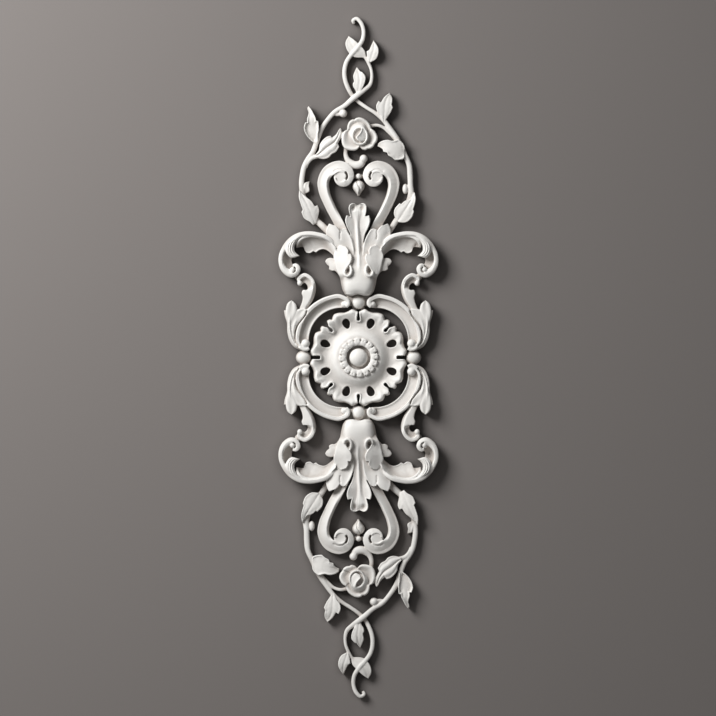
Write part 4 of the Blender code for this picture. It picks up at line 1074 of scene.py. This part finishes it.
def outward(piece):
    """Turn all faces outwards, whatever way round the form was drawn."""
    shape = bmesh.new()
    shape.from_mesh(piece.data)
    bmesh.ops.remove_doubles(shape, verts=shape.verts, dist=1e-6)
    bmesh.ops.recalc_face_normals(shape, faces=shape.faces)
    shape.to_mesh(piece.data)
    shape.free()
    return piece


def pierced_rosette(body):
    """The rosette's body with its holes and slots cut through."""
    piece = outward(to_object(*body, "rosette"))
    group = bpy.data.collections.new("cutters")
    cutters = [outward(to_object(points, faces, "cutter")) for points, faces in piercings()]
    for cutter in cutters:
        group.objects.link(cutter)
    cut = piece.modifiers.new("pierce", "BOOLEAN")
    cut.operation = "DIFFERENCE"
    cut.operand_type = "COLLECTION"
    cut.collection = group
    cut.solver = "MANIFOLD"
    evaluated(piece)
    for cutter in cutters:
        bpy.data.objects.remove(cutter)
    bpy.data.collections.remove(group)
    return piece


def rosette_parts():
    """The pierced rosette as points and triangles, and the forms that stand on it."""
    body, crown = rosette()
    piece = pierced_rosette(body)
    mesh = piece.data
    mesh.calc_loop_triangles()
    triangles = np.zeros(len(mesh.loop_triangles) * 3, np.int32)
    mesh.loop_triangles.foreach_get("vertices", triangles)
    points = vertices_of(mesh)
    bpy.data.objects.remove(piece)
    return points, triangles.reshape(-1, 3), crown


def overlapping_forms():
    """One mesh of all forms of both halves and the rosette, which still run through one another."""
    body, triangles, crown = rosette_parts()
    half = upper_half()
    points, faces, start = [], [], 0
    for form_points, form_faces in half + [turned(form) for form in half] + crown:
        points.append(form_points)
        faces.append(form_faces + start)
        start += len(form_points)
    return joined_mesh(place(np.concatenate(points)), np.concatenate(faces), body, triangles)


def carve():
    """All forms as one closed skin with a flat back."""
    piece = in_scene(CASTING, overlapping_forms())
    fuse = piece.modifiers.new("fuse", "REMESH")
    fuse.mode = "VOXEL"
    fuse.voxel_size = CELL
    evaluated(piece)
    flatten_back(piece.data)
    soften = piece.modifiers.new("soften", "SMOOTH")
    soften.factor = 0.5
    soften.iterations = SOFTENING
    evaluated(piece)
    flatten_back(piece.data)
    relief_map = blurred_heights(vertices_of(piece.data))
    thin = piece.modifiers.new("thin", "DECIMATE")
    thin.ratio = min(1.0, FACETS / (2 * len(piece.data.polygons)))
    thin.use_collapse_triangulate = True
    evaluated(piece)
    drop_specks(piece.data)
    mark_hollow_shade(piece.data, relief_map)
    return piece


def drop_specks(mesh):
    """Merge points that fall together, and delete specks that do not hang on the casting."""
    shape = bmesh.new()
    shape.from_mesh(mesh)
    bmesh.ops.remove_doubles(shape, verts=shape.verts, dist=SAME_POINT)
    left = set(shape.verts)
    specks = []
    while left:
        island = [left.pop()]
        for point in island:
            near = {edge.other_vert(point) for edge in point.link_edges} & left
            left -= near
            island += near
        if len(island) < SPECK:
            specks += island
    bmesh.ops.delete(shape, geom=specks, context="VERTS")
    shape.to_mesh(mesh)
    shape.free()
    mesh.validate()


def vertices_of(mesh):
    places = np.zeros(len(mesh.vertices) * 3, np.float32)
    mesh.vertices.foreach_get("co", places)
    return places.reshape(-1, 3)


def blur(values, reach):
    """Three passes of a running mean along both ways of a map, which come close to a bell curve."""
    size = 2 * max(1, int(round(reach / MAP_CELL))) + 1
    window = np.ones(size) / size
    for _ in range(3):
        for axis in (0, 1):
            values = np.apply_along_axis(np.convolve, axis, values, window, "same")
    return values


def blurred_heights(places):
    """Corner of a map of the carving's front, and the mean height around each of its cells."""
    corner = places[:, (0, 2)].min(axis=0) - 2 * MAP_CELL
    cells = ((places[:, (0, 2)] - corner) / MAP_CELL).astype(int)
    shape = tuple(cells.max(axis=0) + 3)
    heights = np.zeros(shape)
    np.maximum.at(heights, (cells[:, 0], cells[:, 1]), -places[:, 1].astype(float))
    solid = (heights > BACK_SNAP).astype(float)
    return corner, blur(heights, HOLLOW_REACH) / np.maximum(blur(solid, HOLLOW_REACH), 0.05)


def mark_hollow_shade(mesh, relief_map):
    """Give every point of the skin a value from 0 on a crest to 1 in a hollow: how much painted shade it
    gets.
    """
    corner, mean = relief_map
    places = vertices_of(mesh)
    cells = ((places[:, (0, 2)] - corner) / MAP_CELL).astype(int)
    sunk = mean[cells[:, 0], cells[:, 1]] + places[:, 1]
    side = np.sign(places[:, 2]) / MM
    # The rose is painted darker and warmer towards its centre
    far = np.hypot(places[:, 0] * side - ROSE_CENTRE[0], places[:, 2] * side - ROSE_CENTRE[1])
    rose_darker = ROSE_DARKER * ramp(far, *ROSE_DARKER_FADE)
    value = np.clip(LEVEL_GROUND + sunk / HOLLOW_DEPTH + rose_darker, 0.0, 1.0)
    layer = mesh.attributes.new(HOLLOW, "FLOAT", "POINT")
    layer.data.foreach_set("value", value.astype(np.float32))


def joined_mesh(points, quads, more, triangles):
    """One mesh of quads and of further triangles."""
    mesh = bpy.data.meshes.new(CASTING)
    count = len(points)
    places = np.concatenate([points, more]).astype(np.float32)
    corners = np.concatenate([quads.ravel(), triangles.ravel() + count]).astype(np.int32)
    totals = np.concatenate([np.full(len(quads), 4), np.full(len(triangles), 3)])
    starts = np.concatenate([[0], np.cumsum(totals)[:-1]]).astype(np.int32)
    mesh.vertices.add(len(places))
    mesh.vertices.foreach_set("co", places.ravel())
    mesh.loops.add(len(corners))
    mesh.loops.foreach_set("vertex_index", corners)
    mesh.polygons.add(len(totals))
    mesh.polygons.foreach_set("loop_start", starts)
    mesh.update(calc_edges=True)
    return mesh


def flatten_back(mesh):
    """Lay the back exactly on the wall plane."""
    places = vertices_of(mesh)
    places[:, 1] = np.where(places[:, 1] > -BACK_SNAP, 0.0, places[:, 1])
    mesh.vertices.foreach_set("co", places.ravel())
    mesh.update()


def effect(name, inputs, outputs):
    """Empty shader group with inputs and outputs, each a name and a kind of socket."""
    group = bpy.data.node_groups.new(name, "ShaderNodeTree")
    for way, sockets in (("INPUT", inputs), ("OUTPUT", outputs)):
        for label, kind in sockets:
            group.interface.new_socket(name=label, in_out=way, socket_type=kind)
    return group, group.nodes.new("NodeGroupInput"), group.nodes.new("NodeGroupOutput")


def noise(group, size, detail):
    """Noise over the object's own coordinates, with lumps of about the given size in metres."""
    place_node = group.nodes.new("ShaderNodeTexCoord")
    texture = group.nodes.new("ShaderNodeTexNoise")
    texture.inputs["Scale"].default_value = 1 / size
    texture.inputs["Detail"].default_value = detail
    group.links.new(place_node.outputs["Object"], texture.inputs["Vector"])
    return texture


def combined(group, kind, first, second):
    """Math node on two sockets or numbers."""
    node = group.nodes.new("ShaderNodeMath")
    node.operation = kind
    for socket, value in zip(node.inputs, (first, second)):
        if isinstance(value, (int, float)):
            socket.default_value = value
        else:
            group.links.new(value, socket)
    return node.outputs[0]


def swing(group, texture, strength):
    """Noise that runs evenly above and below 0."""
    centred = combined(group, "SUBTRACT", texture.outputs["Fac"], 0.5)
    return combined(group, "MULTIPLY", centred, strength)


def painted_hollow_shade():
    """Mask of painted shade: 1 where the carving is sunk and 0 on its crests, broken up by a little
    noise.
    """
    group, given, result = effect("painted_hollow_shade", [("Spread", NUMBER)], [("Mask", NUMBER)])
    hollow = group.nodes.new("ShaderNodeAttribute")
    hollow.attribute_name = HOLLOW
    shift = swing(group, noise(group, PATCH_SIZE, 3.0), given.outputs["Spread"])
    clamp = group.nodes.new("ShaderNodeClamp")
    group.links.new(combined(group, "ADD", hollow.outputs["Fac"], shift), clamp.inputs["Value"])
    group.links.new(clamp.outputs["Result"], result.inputs["Mask"])
    return group


def painted_shade_and_patches():
    """Painted shade: colour between the paint's on a crest and a greyer one in a hollow, with faint
    lighter and darker patches.
    """
    inputs = [("Mask", NUMBER), ("Crest", COLOUR), ("Hollow", COLOUR), ("Patches", NUMBER)]
    group, given, result = effect("painted_shade_and_patches", inputs, [("Colour", COLOUR)])
    blend = group.nodes.new("ShaderNodeMix")
    blend.data_type = "RGBA"
    group.links.new(given.outputs["Mask"], blend.inputs["Factor"])
    group.links.new(given.outputs["Crest"], blend.inputs[6])
    group.links.new(given.outputs["Hollow"], blend.inputs[7])
    shift = swing(group, noise(group, TONE_SIZE, 2.0), given.outputs["Patches"])
    bright = group.nodes.new("ShaderNodeHueSaturation")
    group.links.new(combined(group, "ADD", shift, 1.0), bright.inputs["Value"])
    group.links.new(blend.outputs[2], bright.inputs["Color"])
    group.links.new(bright.outputs["Color"], result.inputs["Colour"])
    return group


def brushed_grain():
    """Height of fine grain and brush marks in the paint, and a roughness that varies with it."""
    outputs = [("Height", NUMBER), ("Roughness", NUMBER)]
    group, given, result = effect("brushed_grain", [("Sheen", NUMBER)], outputs)
    fine, broad = noise(group, GRAIN_SIZE, 4.0), noise(group, BRUSH_SIZE, 2.0)
    marks = combined(group, "MULTIPLY", broad.outputs["Fac"], 2.5)
    rough = combined(group, "ADD", given.outputs["Sheen"], swing(group, broad, 0.25))
    group.links.new(combined(group, "ADD", fine.outputs["Fac"], marks), result.inputs["Height"])
    group.links.new(rough, result.inputs["Roughness"])
    return group


def placed(material, group, **values):
    node = material.node_tree.nodes.new("ShaderNodeGroup")
    node.node_tree = group
    for label, value in values.items():
        node.inputs[label].default_value = value
    return node


def painted_resin():
    """Matt off-white paint, slightly uneven, with painted shade that makes it greyer and warmer where it
    is sunk.
    """
    material = bpy.data.materials.new("painted_resin")
    material.use_nodes = True
    nodes, links = material.node_tree.nodes, material.node_tree.links
    shader = nodes["Principled BSDF"]
    shader.inputs["Specular IOR Level"].default_value = 0.35
    # Painted shade: the paint is mixed towards a greyer, warmer colour where the carving is sunk
    hollows = placed(material, painted_hollow_shade(), Spread=0.15)
    tones = placed(material, painted_shade_and_patches(), Crest=CREST_PAINT, Hollow=HOLLOW_SHADE_COLOUR, Patches=0.05)
    grain = placed(material, brushed_grain(), Sheen=0.55)
    bump = nodes.new("ShaderNodeBump")
    bump.inputs["Strength"].default_value = 0.3
    bump.inputs["Distance"].default_value = 0.0003
    links.new(hollows.outputs["Mask"], tones.inputs["Mask"])
    links.new(tones.outputs["Colour"], shader.inputs["Base Color"])
    links.new(grain.outputs["Roughness"], shader.inputs["Roughness"])
    links.new(grain.outputs["Height"], bump.inputs["Height"])
    links.new(bump.outputs["Normal"], shader.inputs["Normal"])
    return material


def plain(name, colour, one_sided=False):
    material = bpy.data.materials.new(name)
    material.use_nodes = True
    nodes, links = material.node_tree.nodes, material.node_tree.links
    shader = nodes["Principled BSDF"]
    shader.inputs["Base Color"].default_value = (*colour, 1.0)
    shader.inputs["Roughness"].default_value = 0.9
    if one_sided:
        geometry = nodes.new("ShaderNodeNewGeometry")
        clear = nodes.new("ShaderNodeBsdfTransparent")
        mix = nodes.new("ShaderNodeMixShader")
        links.new(geometry.outputs["Backfacing"], mix.inputs["Fac"])
        links.new(shader.outputs["BSDF"], mix.inputs[1])
        links.new(clear.outputs["BSDF"], mix.inputs[2])
        links.new(mix.outputs["Shader"], nodes["Material Output"].inputs["Surface"])
    return material


# The room's measures in metres: half its width, where its floor starts and ends, its floor and its top,
# and the gap between the wall and the flat back
ROOM_HALF = 2.5
FLOOR_FRONT = -4.0
FLOOR_BACK = 1.5
FLOOR_LEVEL = -1.0
WALL_TOP = 2.0
WALL_GAP = 0.0004
WALL_GREY = (0.196, 0.181, 0.175)
FLOOR_PALE = (0.3, 0.295, 0.285)

# Painted shade on the wall: its colour darkens to its least where only the low share of the air in front
# of it is open, out to this reach, and keeps its colour where the high share is
SHADE_REACH = 0.022
SHADE_LOW = 0.35
SHADE_HIGH = 0.85
SHADE_LEAST = 0.4

# Lamps have a place in metres, a size in metres, a power in watts and a colour
LAMPS = {
    "key": ((-1.15, -1.1, 0.95), 0.9, 45, (1.0, 0.985, 0.965)),
    "fill": ((1.8, -2.6, -0.4), 2.0, 1.5, (0.96, 0.98, 1.0)),
}
DAYLIGHT = 0.11


def flat_sheet(name, corners, material):
    mesh = bpy.data.meshes.new(name)
    mesh.from_pydata(corners, [], [(0, 1, 2, 3)])
    mesh.materials.append(material)
    in_scene(name, mesh)


def shade_near(material):
    """Paint shade into a wall's colour where something stands close in front of it."""
    nodes, links = material.node_tree.nodes, material.node_tree.links
    near = nodes.new("ShaderNodeAmbientOcclusion")
    near.inputs["Distance"].default_value = SHADE_REACH
    near.samples = 8
    curve = nodes.new("ShaderNodeMapRange")
    curve.inputs["From Min"].default_value = SHADE_LOW
    curve.inputs["From Max"].default_value = SHADE_HIGH
    curve.inputs["To Min"].default_value = SHADE_LEAST
    links.new(near.outputs["AO"], curve.inputs["Value"])
    shaded_colour = nodes.new("ShaderNodeMix")
    shaded_colour.data_type = "RGBA"
    shaded_colour.inputs[6].default_value = (0.0, 0.0, 0.0, 1.0)
    shaded_colour.inputs[7].default_value = (*WALL_GREY, 1.0)
    links.new(curve.outputs["Result"], shaded_colour.inputs["Factor"])
    links.new(shaded_colour.outputs[2], nodes["Principled BSDF"].inputs["Base Color"])


def room():
    """Plain grey wall behind the applique and a pale floor below it."""
    grey = plain("wall_grey", WALL_GREY, one_sided=True)
    shade_near(grey)
    pale = plain("floor_pale", FLOOR_PALE)
    left, right = -ROOM_HALF, ROOM_HALF
    foot = [(left, WALL_GAP, FLOOR_LEVEL), (right, WALL_GAP, FLOOR_LEVEL)]
    flat_sheet("wall", [*foot, (right, WALL_GAP, WALL_TOP), (left, WALL_GAP, WALL_TOP)], grey)
    front = [(left, FLOOR_FRONT, FLOOR_LEVEL), (right, FLOOR_FRONT, FLOOR_LEVEL)]
    flat_sheet("floor", [*front, (right, FLOOR_BACK, FLOOR_LEVEL), (left, FLOOR_BACK, FLOOR_LEVEL)], pale)


def area_light(name, place_at, size, power, colour):
    """Square lamp that shines at the middle of the rosette."""
    data = bpy.data.lights.new(name, "AREA")
    data.shape = "SQUARE"
    data.size = size
    data.energy = power
    data.color = colour
    lamp = in_scene(name, data)
    lamp.location = place_at
    lamp.rotation_mode = "QUATERNION"
    lamp.rotation_quaternion = (-Vector(place_at)).to_track_quat("-Z", "Y")


def lights():
    for name, lamp in LAMPS.items():
        area_light(name, *lamp)
    world = bpy.data.worlds.new("studio")
    world.use_nodes = True
    sky = world.node_tree.nodes["Background"]
    sky.inputs["Color"].default_value = (1.0, 1.0, 1.0, 1.0)
    sky.inputs["Strength"].default_value = DAYLIGHT
    bpy.context.scene.world = world
    bpy.context.scene.view_settings.view_transform = "Standard"


# The photograph is 716 pixels wide, one of its pixels is 1.1 mm at the wall, and the rosette's middle
# lies half a pixel to the right of the picture's middle and half a pixel above it
PIXELS = 716
PIXEL = 1.1
OFF_MIDDLE = 0.5
CAMERA_AWAY = 5.0
SENSOR = 36.0


def camera():
    data = bpy.data.cameras.new("camera")
    data.sensor_width = SENSOR
    data.lens = SENSOR * CAMERA_AWAY / (PIXELS * PIXEL * MM)
    eye = in_scene("camera", data)
    eye.location = (-OFF_MIDDLE * PIXEL * MM, -CAMERA_AWAY, -OFF_MIDDLE * PIXEL * MM)
    eye.rotation_euler = (math.radians(90), 0.0, 0.0)
    bpy.context.scene.camera = eye


def main():
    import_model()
    camera()
    casting = carve()
    casting.data.materials.clear()
    casting.data.materials.append(painted_resin())
    casting.data.shade_smooth()
    casting.data.set_sharp_from_angle(angle=math.radians(60))
    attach(casting, "root")
    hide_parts("scroll_applique")
    room()
    lights()


main()
